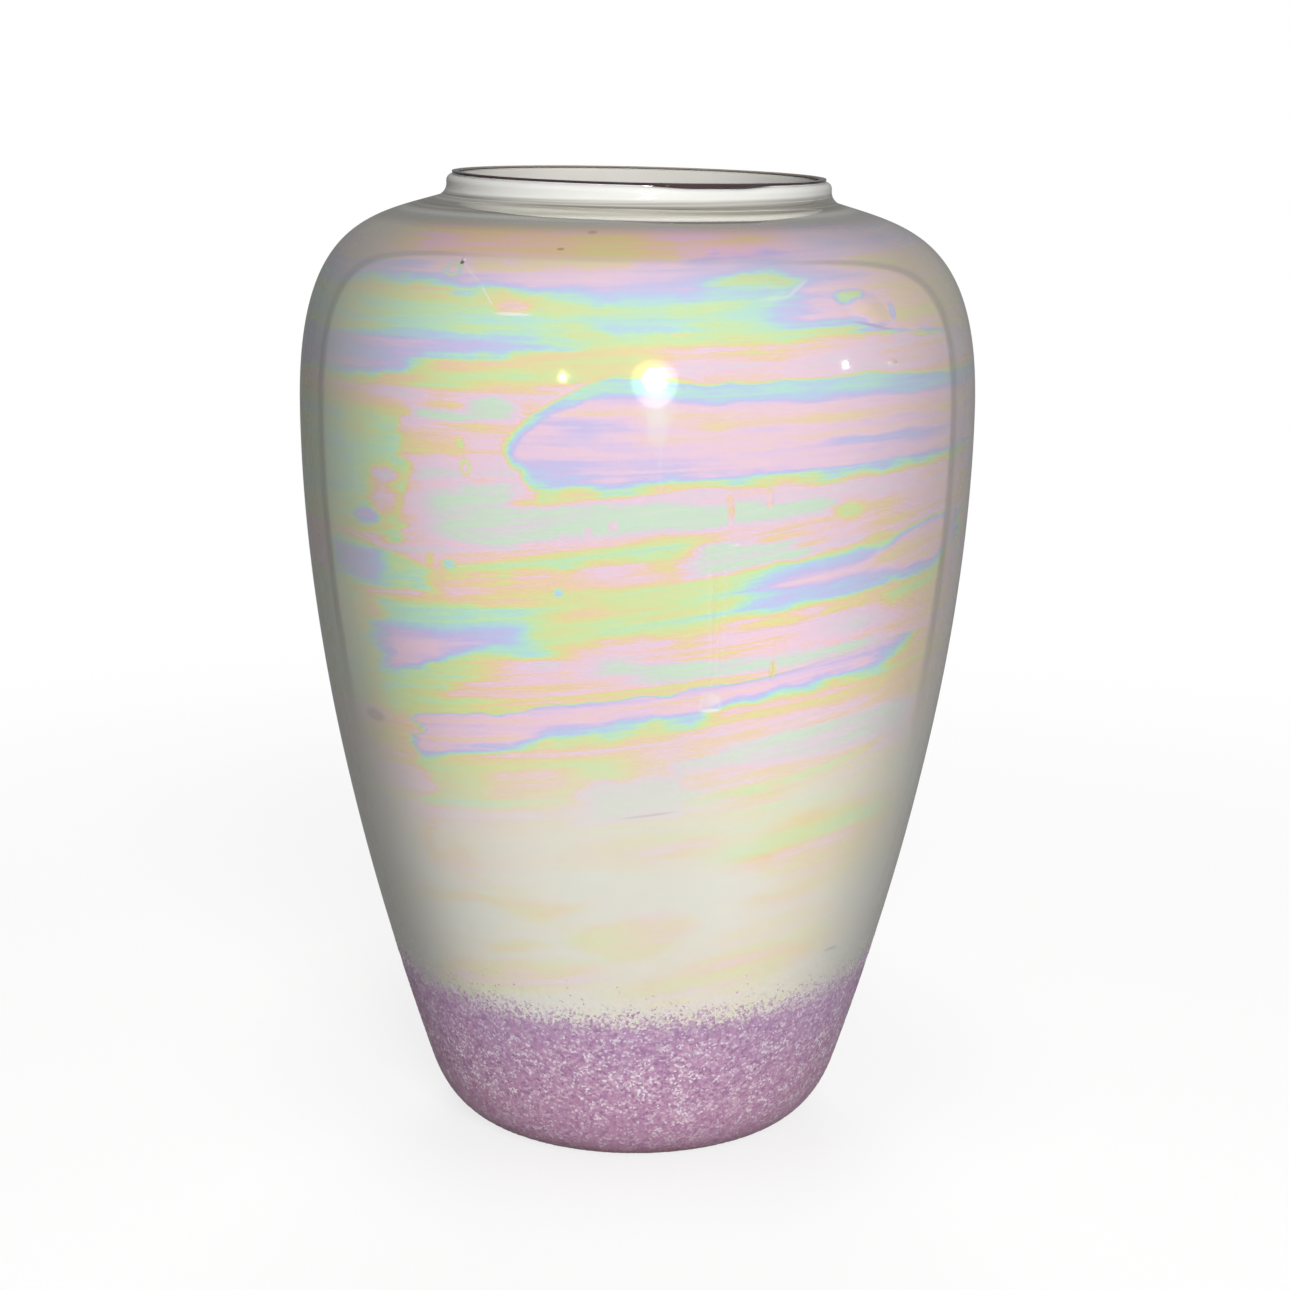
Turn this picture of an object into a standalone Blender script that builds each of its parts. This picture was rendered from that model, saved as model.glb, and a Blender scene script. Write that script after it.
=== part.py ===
"""Hand blown art glass vase, built up as the layers of glass that a glassblower gathers.

Metres, +Z up. The origin is on the vase's axis in the plane that it rests on, and the front is -Y.
One outer curve gives the body its shape. Each layer is turned from that curve, set in by its depth in
the wall, so every layer follows a change of the curve or of the layers outside it.
"""
import math

import bmesh
import bpy
from mathutils import Vector

# Outer curve: heel, flaring wall, shoulder, collar
RIM_HEIGHT = 0.2800
FOOT_RADIUS = 0.0438
HEEL_REACH = 0.0202
HEEL_RISE = 0.0337
WALL_FLARE = math.radians(18.2)
WALL_PULL = 0.0862
BELLY_RADIUS = 0.0978
BELLY_TO_RIM = 0.0658
BELLY_PULL_BELOW = 0.0504
BELLY_PULL_ABOVE = 0.0504
SHOULDER_SLOPE = math.radians(16.6)
SHOULDER_PULL = 0.0203
COLLAR_RADIUS = 0.0552
COLLAR_FILLET = 0.0038
COLLAR_WALL = 0.0036
COLLAR_TILT = math.radians(0.9)

# Layers of the wall, thick at the foot and thin at the lip
GLASS_GAP = 0.0003
CASING_AT_FOOT = 0.0032
CASING_AT_LIP = 0.0010
OPAL_AT_FOOT = 0.0012
OPAL_AT_LIP = 0.0006
CORE_AT_FOOT = 0.0040
CORE_AT_LIP = 0.0013
FRIT_THICKNESS = 0.0013
FRIT_HEIGHT = 0.0471

# Underside: a flat ground ring round a shallow kick, with the pontil in the middle
RING_INNER_RADIUS = 0.0350
KICK_RISE = 0.0060
PONTIL_RADIUS = 0.0140
PONTIL_CLEARANCE = 0.0020
PONTIL_CHAMFER = 0.0008

# Thread of dark glass on the lip, with its lapped end at the front right
WRAP_INNER_THICKNESS = 0.0004
WRAP_OUTER_THICKNESS = 0.0006
WRAP_EDGE = math.radians(6.0)
WRAP_SOFTENING = 0.0002
LAP_START = math.radians(2.5)
LAP_FULL = math.radians(22.0)
LAP_END = math.radians(44.0)
LAP_AT_END = 0.6
LAP_REACH = math.radians(60.0)

# Fineness of the turned surfaces
SEGMENTS = 36
HEEL_STEPS = 4
FRIT_WALL_STEPS = 1
WALL_STEPS = 5
SHOULDER_STEPS = 7
FILLET_STEPS = 3
LIP_STEPS = 3
KICK_STEPS = 3
MERGE_DISTANCE = 0.000001
SHARP_ANGLE = math.radians(40.0)

# Sizes that follow from the ones above
BELLY_HEIGHT = RIM_HEIGHT - BELLY_TO_RIM
FILLET_HEIGHT = RIM_HEIGHT - COLLAR_WALL
LIP_ROUND = CASING_AT_LIP + GLASS_GAP + OPAL_AT_LIP
LIP_CENTRE = Vector((COLLAR_RADIUS - LIP_ROUND,
                     RIM_HEIGHT - WRAP_OUTER_THICKNESS - GLASS_GAP - LIP_ROUND))
CORE_TOP = RIM_HEIGHT - WRAP_INNER_THICKNESS - GLASS_GAP


def clear_scene():
    """Remove every object, so that the model starts from an empty scene."""
    for item in list(bpy.data.objects):
        bpy.data.objects.remove(item, do_unlink=True)


def spread(start, end, steps):
    """Evenly spaced values from start to end, both included."""
    return [start + (end - start) * step / steps for step in range(steps + 1)]


def smooth_share(value):
    """0 below 0, 1 above 1 and an eased rise between."""
    share = min(1.0, max(0.0, value))
    return share * share * (3.0 - 2.0 * share)


def station(point, tangent):
    """A point on the outer curve, with the unit normal that points out of the glass."""
    return point, Vector((tangent.y, -tangent.x)).normalized()


def arc_stations(centre, reach, rise, angles):
    """Stations on an arc of a circle or an ellipse, in the order of its angles."""
    turn = 1.0 if angles[-1] > angles[0] else -1.0
    return [station(centre + Vector((reach * math.cos(angle), rise * math.sin(angle))),
                    turn * Vector((-reach * math.sin(angle), rise * math.cos(angle))))
            for angle in angles]


def cubic_point(handles, share):
    """Point at a share of the way along a cubic curve."""
    start, pull_start, pull_end, end = handles
    rest = 1.0 - share
    return (start * rest**3 + pull_start * 3.0 * rest**2 * share
            + pull_end * 3.0 * rest * share**2 + end * share**3)


def cubic_stations(handles, shares):
    """Stations on a cubic curve at the given shares of its way."""
    start, pull_start, pull_end, end = handles
    result = []
    for share in shares:
        rest = 1.0 - share
        tangent = ((pull_start - start) * rest**2 + (pull_end - pull_start) * 2.0 * rest * share
                   + (end - pull_end) * share**2)
        result.append(station(cubic_point(handles, share), tangent))
    return result


def share_at_height(handles, height):
    """Share of the way along a rising cubic curve at which it reaches a height."""
    low, high = 0.0, 1.0
    for _ in range(40):
        middle = (low + high) / 2.0
        if cubic_point(handles, middle).y < height:
            low = middle
        else:
            high = middle
    return (low + high) / 2.0


def outer_curve():
    """The silhouette as two runs of stations: foot to frit line, and from there to the lip."""
    heel_end = -math.atan(HEEL_RISE / HEEL_REACH * math.tan(WALL_FLARE))
    heel = arc_stations(Vector((FOOT_RADIUS, HEEL_RISE)), HEEL_REACH, HEEL_RISE,
                        spread(-math.pi / 2.0, heel_end, HEEL_STEPS))
    wall_start = heel[-1][0]
    flare = Vector((math.sin(WALL_FLARE), math.cos(WALL_FLARE)))
    belly = Vector((BELLY_RADIUS, BELLY_HEIGHT))
    wall = (wall_start, wall_start + flare * WALL_PULL, belly - Vector((0.0, BELLY_PULL_BELOW)), belly)
    frit_share = share_at_height(wall, FRIT_HEIGHT)

    fillet = arc_stations(Vector((COLLAR_RADIUS + COLLAR_FILLET, FILLET_HEIGHT)),
                          COLLAR_FILLET, COLLAR_FILLET,
                          spread(1.5 * math.pi - SHOULDER_SLOPE, math.pi, FILLET_STEPS))
    shoulder_end = fillet[0][0]
    slope = Vector((math.cos(SHOULDER_SLOPE), -math.sin(SHOULDER_SLOPE)))
    shoulder = (belly, belly + Vector((0.0, BELLY_PULL_ABOVE)), shoulder_end + slope * SHOULDER_PULL,
                shoulder_end)
    collar_top = station(Vector((COLLAR_RADIUS, LIP_CENTRE.y)), Vector((0.0, 1.0)))

    below = heel + cubic_stations(wall, spread(0.0, frit_share, FRIT_WALL_STEPS))[1:]
    above = (cubic_stations(wall, spread(frit_share, 1.0, WALL_STEPS))[1:]
             + cubic_stations(shoulder, spread(0.0, 1.0, SHOULDER_STEPS))[1:]
             + fillet[1:] + [collar_top])
    return below, above


def tapered(at_foot, at_lip, height):
    """Thickness of a layer at a height, between its values at the foot and at the lip."""
    share = min(1.0, max(0.0, height / LIP_CENTRE.y))
    return at_foot + (at_lip - at_foot) * share


def casing_depth(height):
    """Depth of the casing's inner face below the outer curve."""
    return tapered(CASING_AT_FOOT, CASING_AT_LIP, height)


def opal_depth(height):
    """Depth of the opal layer's inner face below the outer curve."""
    return casing_depth(height) + GLASS_GAP + tapered(OPAL_AT_FOOT, OPAL_AT_LIP, height)


def core_depth(height):
    """Depth of the inside wall below the outer curve, which is the whole wall."""
    return opal_depth(height) + GLASS_GAP + tapered(CORE_AT_FOOT, CORE_AT_LIP, height)


def set_in(stations, depth_at, gap=0.0):
    """Points at a depth below the outer curve, where the depth depends on the height."""
    return [point - normal * (depth_at(point.y) + gap) for point, normal in stations]


def kick(radius):
    """Rise of the underside above the resting plane at a radius."""
    return KICK_RISE * max(0.0, 1.0 - (radius / RING_INNER_RADIUS)**2)


def underside(depth, inner_radius=0.0):
    """Points under the base at a depth, from the resting ring's inner edge in to a radius."""
    return [Vector((radius, depth + kick(radius)))
            for radius in spread(RING_INNER_RADIUS, inner_radius, KICK_STEPS)]


def casing_profile(below, above):
    """Outer gather: stepped in below the frit line, rolled over the opal's edge at the lip."""
    seat = FRIT_THICKNESS + GLASS_GAP
    line, normal = below[-1]
    along = Vector((-normal.y, normal.x))
    ledge = [line - normal * seat + along * GLASS_GAP, line + along * GLASS_GAP]
    lip = [LIP_CENTRE + LIP_ROUND * Vector((math.cos(angle), math.sin(angle)))
           for angle in spread(0.0, math.pi / 2.0, LIP_STEPS)]
    nib = [LIP_CENTRE + Vector((0.0, LIP_ROUND - CASING_AT_LIP)),
           LIP_CENTRE + Vector((LIP_ROUND - CASING_AT_LIP, GLASS_GAP))]
    return (underside(seat)[::-1]
            + set_in(below[:-1], lambda height: seat) + ledge
            + [point for point, _ in above[:-1]] + lip + nib
            + set_in((below + above)[::-1], casing_depth)
            + underside(casing_depth(0.0)))


def opal_profile(below, above):
    """Thin white layer, closed between the casing and the core and ending under the rolled lip."""
    stations = below + above
    return (underside(casing_depth(0.0) + GLASS_GAP)[::-1]
            + set_in(stations, casing_depth, GLASS_GAP)
            + set_in(stations[::-1], opal_depth)
            + underside(opal_depth(0.0)))


def core_profile(below, above):
    """First gather: inside wall and floor, with a softened inner edge at the lip."""
    stations = below + above
    outer = COLLAR_RADIUS - LIP_ROUND - GLASS_GAP
    inner = outer - CORE_AT_LIP
    soft = CORE_AT_LIP / 3.0
    top = [Vector((outer, CORE_TOP)), Vector((inner + soft, CORE_TOP)), Vector((inner, CORE_TOP - soft))]
    return (underside(opal_depth(0.0) + GLASS_GAP)[::-1]
            + set_in(stations, opal_depth, GLASS_GAP)
            + top
            + set_in(stations[::-1], core_depth)
            + underside(core_depth(0.0)))


def frit_profile(below):
    """Jacket of crushed glass: a closed section from the frit line down to the pontil's edge."""
    hole = PONTIL_RADIUS + GLASS_GAP
    return (underside(0.0, hole)[::-1]
            + [point for point, _ in below]
            + set_in(below[::-1], lambda height: FRIT_THICKNESS)
            + underside(FRIT_THICKNESS, hole))


def pontil_profile():
    """Stub of the pontil: a flat ground face with a chamfer, fitted up into the kick."""
    radii = spread(PONTIL_RADIUS, 0.0, KICK_STEPS)
    return ([Vector((0.0, PONTIL_CLEARANCE)),
             Vector((PONTIL_RADIUS - PONTIL_CHAMFER, PONTIL_CLEARANCE)),
             Vector((PONTIL_RADIUS, PONTIL_CLEARANCE + PONTIL_CHAMFER))]
            + [Vector((radius, FRIT_THICKNESS + kick(radius))) for radius in radii])


def wrap_profile():
    """Section of the thread: flat on the core's edge, its outer edge turned over the rolled lip."""
    inner = COLLAR_RADIUS - core_depth(LIP_CENTRE.y)
    seat = CORE_TOP + GLASS_GAP
    under = LIP_ROUND + GLASS_GAP
    over = under + WRAP_OUTER_THICKNESS
    angles = spread(0.0, WRAP_EDGE, 2)

    def edge(radius, angle):
        return LIP_CENTRE + radius * Vector((math.sin(angle), math.cos(angle)))

    return ([Vector((inner, seat)), Vector((LIP_CENTRE.x - GLASS_GAP, seat))]
            + [edge(under, angle) for angle in angles]
            + [edge(over, angle) for angle in reversed(angles)]
            + [Vector((inner + WRAP_SOFTENING, RIM_HEIGHT)),
               Vector((inner, RIM_HEIGHT - WRAP_SOFTENING))])


def lap_share(turn):
    """How far the thread's end is lapped at an angle to the right of the front, from 0 to 1."""
    if not LAP_START < turn < LAP_END:
        return 0.0
    if turn < LAP_FULL:
        return smooth_share((turn - LAP_START) / (LAP_FULL - LAP_START))
    return 1.0 + (LAP_AT_END - 1.0) * (turn - LAP_FULL) / (LAP_END - LAP_FULL)


def lay_lap(bm):
    """Draw the thread's outer edge down over the rolled lip where its end is lapped."""
    for vert in bm.verts:
        radius = math.hypot(vert.co.x, vert.co.y)
        out = radius - LIP_CENTRE.x
        share = lap_share(math.atan2(vert.co.x, -vert.co.y))
        if out <= MERGE_DISTANCE or share == 0.0:
            continue
        up = vert.co.z - LIP_CENTRE.y
        angle = math.atan2(out, up) * (1.0 + (LAP_REACH / WRAP_EDGE - 1.0) * share)
        reach = math.hypot(out, up)
        grown = (LIP_CENTRE.x + reach * math.sin(angle)) / radius
        vert.co = (vert.co.x * grown, vert.co.y * grown, LIP_CENTRE.y + reach * math.cos(angle))


def tilt_collar(bm):
    """Set the shoulder and the collar a little high on the left, fading out down to the belly."""
    for vert in bm.verts:
        share = smooth_share((vert.co.z - BELLY_HEIGHT) / (FILLET_HEIGHT - BELLY_HEIGHT))
        vert.co.z -= vert.co.x * math.tan(COLLAR_TILT) * share


def turned(profile, segments):
    """Turn a section about the vase's axis. A section that ends on the axis is closed there."""
    bm = bmesh.new()
    verts = [bm.verts.new((point.x, 0.0, point.y)) for point in profile]
    pairs = list(zip(verts, verts[1:]))
    if profile[0].x > MERGE_DISTANCE:
        pairs.append((verts[-1], verts[0]))
    edges = [bm.edges.new(pair) for pair in pairs]
    bmesh.ops.spin(bm, geom=verts + edges, cent=(0.0, 0.0, 0.0), axis=(0.0, 0.0, 1.0),
                   angle=math.tau, steps=segments, use_merge=True)
    bmesh.ops.remove_doubles(bm, verts=bm.verts, dist=MERGE_DISTANCE)
    bmesh.ops.recalc_face_normals(bm, faces=bm.faces)
    return bm


def glass(name, colour, roughness, metallic=0.0, transmission=0.0):
    """Principled material of one kind of glass."""
    material = bpy.data.materials.new(name)
    material.use_nodes = True
    shader = material.node_tree.nodes["Principled BSDF"]
    shader.inputs["Base Color"].default_value = (*colour, 1.0)
    shader.inputs["Roughness"].default_value = roughness
    shader.inputs["Metallic"].default_value = metallic
    shader.inputs["Transmission Weight"].default_value = transmission
    material.diffuse_color = (*colour, 1.0)
    return material


def add_piece(name, bm, material, vase):
    """Put a finished mesh into the scene as one named piece of the vase."""
    tilt_collar(bm)
    mesh = bpy.data.meshes.new(name)
    bm.to_mesh(mesh)
    bm.free()
    mesh.materials.append(material)
    mesh.shade_smooth()
    mesh.set_sharp_from_angle(angle=SHARP_ANGLE)
    piece = bpy.data.objects.new(name, mesh)
    piece.parent = vase
    bpy.context.collection.objects.link(piece)


def build_vase():
    """Gather the layers from the inside out, then add the frit, the lip wrap and the pontil."""
    vase = bpy.data.objects.new("vase", None)
    bpy.context.collection.objects.link(vase)
    below, above = outer_curve()

    add_piece("inner_clear_layer", turned(core_profile(below, above), SEGMENTS),
              glass("clear_glass", (0.74, 0.73, 0.66), 0.08, transmission=0.6), vase)
    add_piece("opal_layer", turned(opal_profile(below, above), SEGMENTS),
              glass("white_opal", (0.86, 0.86, 0.83), 0.25), vase)
    add_piece("lustre_casing", turned(casing_profile(below, above), SEGMENTS),
              glass("pearl_lustre", (0.80, 0.77, 0.78), 0.10, metallic=0.2), vase)
    add_piece("lilac_frit_jacket", turned(frit_profile(below), SEGMENTS),
              glass("lilac_frit", (0.46, 0.29, 0.41), 0.40), vase)
    wrap = turned(wrap_profile(), 2 * SEGMENTS)
    lay_lap(wrap)
    add_piece("lip_wrap", wrap, glass("dark_amethyst", (0.020, 0.008, 0.018), 0.08), vase)
    add_piece("pontil_disc", turned(pontil_profile(), SEGMENTS),
              glass("ground_glass", (0.72, 0.70, 0.70), 0.35, transmission=0.3), vase)


clear_scene()
build_vase()
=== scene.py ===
"""Looks of the blown glass vase: its finishes, its fine shapes and the studio round it.

Metres, +Z up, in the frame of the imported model. The front is -Y, and a turn is an angle in degrees to
the right of the front. Heights in the film's description are millimetres above the resting plane.
"""
import logging
import math
import random
from bisect import bisect_left
from collections.abc import Callable
from dataclasses import dataclass
from enum import Enum
from functools import cached_property
from typing import ClassVar

import bmesh
import bpy
from mathutils import Matrix, Vector, noise


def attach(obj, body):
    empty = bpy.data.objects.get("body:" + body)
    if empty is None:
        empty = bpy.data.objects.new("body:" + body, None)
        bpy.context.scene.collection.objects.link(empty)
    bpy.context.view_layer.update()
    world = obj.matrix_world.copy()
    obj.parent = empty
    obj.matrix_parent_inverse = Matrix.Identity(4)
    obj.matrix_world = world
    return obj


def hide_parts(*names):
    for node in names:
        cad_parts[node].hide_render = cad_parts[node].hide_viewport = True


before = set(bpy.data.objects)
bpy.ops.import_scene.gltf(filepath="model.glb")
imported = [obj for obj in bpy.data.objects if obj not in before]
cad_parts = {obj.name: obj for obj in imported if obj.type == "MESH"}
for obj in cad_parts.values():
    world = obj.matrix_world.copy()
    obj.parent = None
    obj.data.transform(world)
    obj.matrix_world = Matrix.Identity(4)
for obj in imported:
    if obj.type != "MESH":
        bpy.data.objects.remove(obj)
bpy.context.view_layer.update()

MERGE_DISTANCE = 1e-6
SECTOR_DOUBLINGS = 4
SHARP_ANGLE = math.radians(40.0)
MILLIMETRE = 0.001
GLASS_IOR = 1.5
LOG = logging.getLogger("vase")

Colour = tuple[float, float, float]
Place = tuple[float, float, float]
# A span is where a range or an eased rise starts and ends. A rise also has the share that it reaches.
Span = tuple[float, float]
Rise = tuple[float, float, float]


class Slot(Enum):
    """Material slots of the record."""

    CLEAR_GLASS = "clear_glass"
    WHITE_OPAL = "white_opal"
    PEARL_LUSTRE = "pearl_lustre"
    LILAC_FRIT = "lilac_frit"
    DARK_AMETHYST = "dark_amethyst"
    GROUND_GLASS = "ground_glass"


class Signal:
    """One output socket of a node tree. Arithmetic on it adds Math nodes."""

    def __init__(self, wiring: "Wiring", socket: bpy.types.NodeSocket) -> None:
        """Keep the socket and the tree it belongs to.

        Args:
            wiring: The tree that new nodes are added to.
            socket: The output socket that this signal stands for.
        """
        self.wiring = wiring
        self.socket = socket

    def math(self, operation: str, *others: "Signal | float") -> "Signal":
        """Feed this signal and others through one Math node.

        Args:
            operation: The Math node's operation.
            others: Second and third operands.

        Returns:
            The node's result.
        """
        return self.wiring.node("ShaderNodeMath", {"operation": operation},
                                dict(enumerate((self, *others))))

    def __add__(self, other: "Signal | float") -> "Signal":
        """Sum."""
        return self.math("ADD", other)

    __radd__ = __add__

    def __mul__(self, other: "Signal | float") -> "Signal":
        """Product."""
        return self.math("MULTIPLY", other)

    __rmul__ = __mul__

    def __sub__(self, other: "Signal | float") -> "Signal":
        """Difference."""
        return self.math("SUBTRACT", other)

    def __rsub__(self, other: float) -> "Signal":
        """Difference, with a plain number in front."""
        return self.math("MULTIPLY_ADD", -1.0, other)

    def __truediv__(self, other: "Signal | float") -> "Signal":
        """Quotient."""
        return self.math("DIVIDE", other)

    def __pow__(self, other: float) -> "Signal":
        """Power."""
        return self.math("POWER", other)

    def __neg__(self) -> "Signal":
        """Opposite."""
        return self.math("MULTIPLY", -1.0)

    def __abs__(self) -> "Signal":
        """Size without its sign."""
        return self.math("ABSOLUTE")

    def eased(self, start: float, end: float, full: "Signal | float" = 1.0) -> "Signal":
        """Ease from 0 at one value to a full share at another.

        Args:
            start: Value at which the result is 0.
            end: Value at which the result is full, above or below start.
            full: The full share.

        Returns:
            The eased share.
        """
        return self.wiring.node("ShaderNodeMapRange", {"interpolation_type": "SMOOTHSTEP"},
                                {"Value": self, "From Min": start, "From Max": end, "To Max": full})

    def other(self, name: str) -> "Signal":
        """Another output of the same node."""
        return Signal(self.wiring, Wiring.socket(self.socket.node.outputs, name))


class Wiring:
    """Node tree of a material or of the world while it is wired."""

    def __init__(self, tree: bpy.types.NodeTree) -> None:
        """Start from an empty tree."""
        self.tree = tree
        tree.nodes.clear()

    @staticmethod
    def socket(sockets: bpy.types.bpy_prop_collection, key: int | str) -> bpy.types.NodeSocket:
        """Find a socket.

        Args:
            sockets: A node's inputs or outputs.
            key: The socket's place, its identifier or its name.

        Returns:
            The socket.
        """
        if isinstance(key, int):
            return sockets[key]
        return next(item for item in sockets if key in (item.identifier, item.name))

    def node(self, kind: str, settings: dict | None = None, inputs: dict | None = None,
             output: int | str = 0) -> Signal | None:
        """Add a node.

        Args:
            kind: The node's type.
            settings: Its properties, and under "stops" the places and colours of a ramp.
            inputs: Values or signals for its sockets.
            output: The output that is wanted.

        Returns:
            That output, or None where a node has none.
        """
        node = self.tree.nodes.new(kind)
        for name, value in (settings or {}).items():
            if name == "stops":
                self._set_stops(node.color_ramp, value)
            else:
                setattr(node, name, value)
        for key, value in (inputs or {}).items():
            target = self.socket(node.inputs, key)
            if isinstance(value, Signal):
                self.tree.links.new(value.socket, target)
            else:
                target.default_value = value
        return Signal(self, self.socket(node.outputs, output)) if node.outputs else None

    @staticmethod
    def _set_stops(ramp: bpy.types.ColorRamp, stops: list[tuple[float, Colour]]) -> None:
        """Give a ramp its stops.

        Args:
            ramp: The ramp of a Color Ramp node.
            stops: Place and colour of each stop, in rising order.
        """
        while len(ramp.elements) > 1:
            ramp.elements.remove(ramp.elements[-1])
        for index, (place, colour) in enumerate(stops):
            stop = ramp.elements[0] if index == 0 else ramp.elements.new(place)
            stop.position = place
            stop.color = (*colour, 1.0)

    def mix(self, share: Signal | float, first: Signal | Colour, second: Signal | Colour) -> Signal:
        """Blend two colours.

        Args:
            share: Weight of the second colour.
            first: First colour.
            second: Second colour.

        Returns:
            The blended colour.
        """
        pair = [item if isinstance(item, Signal) else (*item, 1.0) for item in (first, second)]
        return self.node("ShaderNodeMix", {"data_type": "RGBA"},
                         {"Factor_Float": share, "A_Color": pair[0], "B_Color": pair[1]}, "Result_Color")

    def laid(self, under: Signal, over: float, share: Signal) -> Signal:
        """Number that is laid over another.

        Args:
            under: The number below.
            over: The number on top.
            share: How much of the top one shows.

        Returns:
            The blended number.
        """
        return self.node("ShaderNodeMix", {"data_type": "FLOAT"},
                         {"Factor_Float": share, "A_Float": under, "B_Float": over}, "Result_Float")

    def vector(self, x: Signal | float, y: Signal | float, z: Signal | float) -> Signal:
        """Vector from three numbers."""
        return self.node("ShaderNodeCombineXYZ", inputs={"X": x, "Y": y, "Z": z})

    def noise(self, place: Signal, scale: float, detail: float = 2.0, roughness: float = 0.5) -> Signal:
        """Noise of about -1 to 1.

        Args:
            place: Coordinates.
            scale: Waves per unit of them.
            detail: Number of finer octaves.
            roughness: Strength of the finer octaves.

        Returns:
            The noise.
        """
        level = self.node("ShaderNodeTexNoise", {"noise_dimensions": "3D"},
                          {"Vector": place, "Scale": scale, "Detail": detail, "Roughness": roughness})
        return level * 2.0 - 1.0


def new_material(name: str, colour: Colour) -> tuple[bpy.types.Material, Wiring]:
    """Make an empty node material.

    Args:
        name: Name of the material.
        colour: Its colour in the viewport.

    Returns:
        The material and the wiring of its tree.
    """
    material = bpy.data.materials.new(name)
    material.use_nodes = True
    material.diffuse_color = (*colour, 1.0)
    return material, Wiring(material.node_tree)


class AxisPlace:
    """Where a point lies about the vase's axis, wired from Object coordinates as it is asked for."""

    def __init__(self, wiring: Wiring) -> None:
        """Wire the coordinates: the vector, then its x, y and z.

        Args:
            wiring: Tree of the material.
        """
        self.wiring = wiring
        self.place = wiring.node("ShaderNodeTexCoord", output="Object")
        self.x = wiring.node("ShaderNodeSeparateXYZ", inputs={"Vector": self.place}, output="X")
        self.y = self.x.other("Y")
        self.z = self.x.other("Z")

    @cached_property
    def height(self) -> Signal:
        """Height in millimetres."""
        return self.z / MILLIMETRE

    @cached_property
    def reach(self) -> Signal:
        """Distance from the axis."""
        return (self.x * self.x + self.y * self.y).math("SQRT")

    @cached_property
    def facing(self) -> Signal:
        """Cosine of the turn from the front."""
        return -self.y / self.reach

    @cached_property
    def swing(self) -> Signal:
        """Sine of the turn from the front, in degrees."""
        return self.x / self.reach * math.degrees(1.0)

    @cached_property
    def turn(self) -> Signal:
        """Turn from the front, in degrees."""
        return self.x.math("ARCTAN2", -self.y) * math.degrees(1.0)


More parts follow.
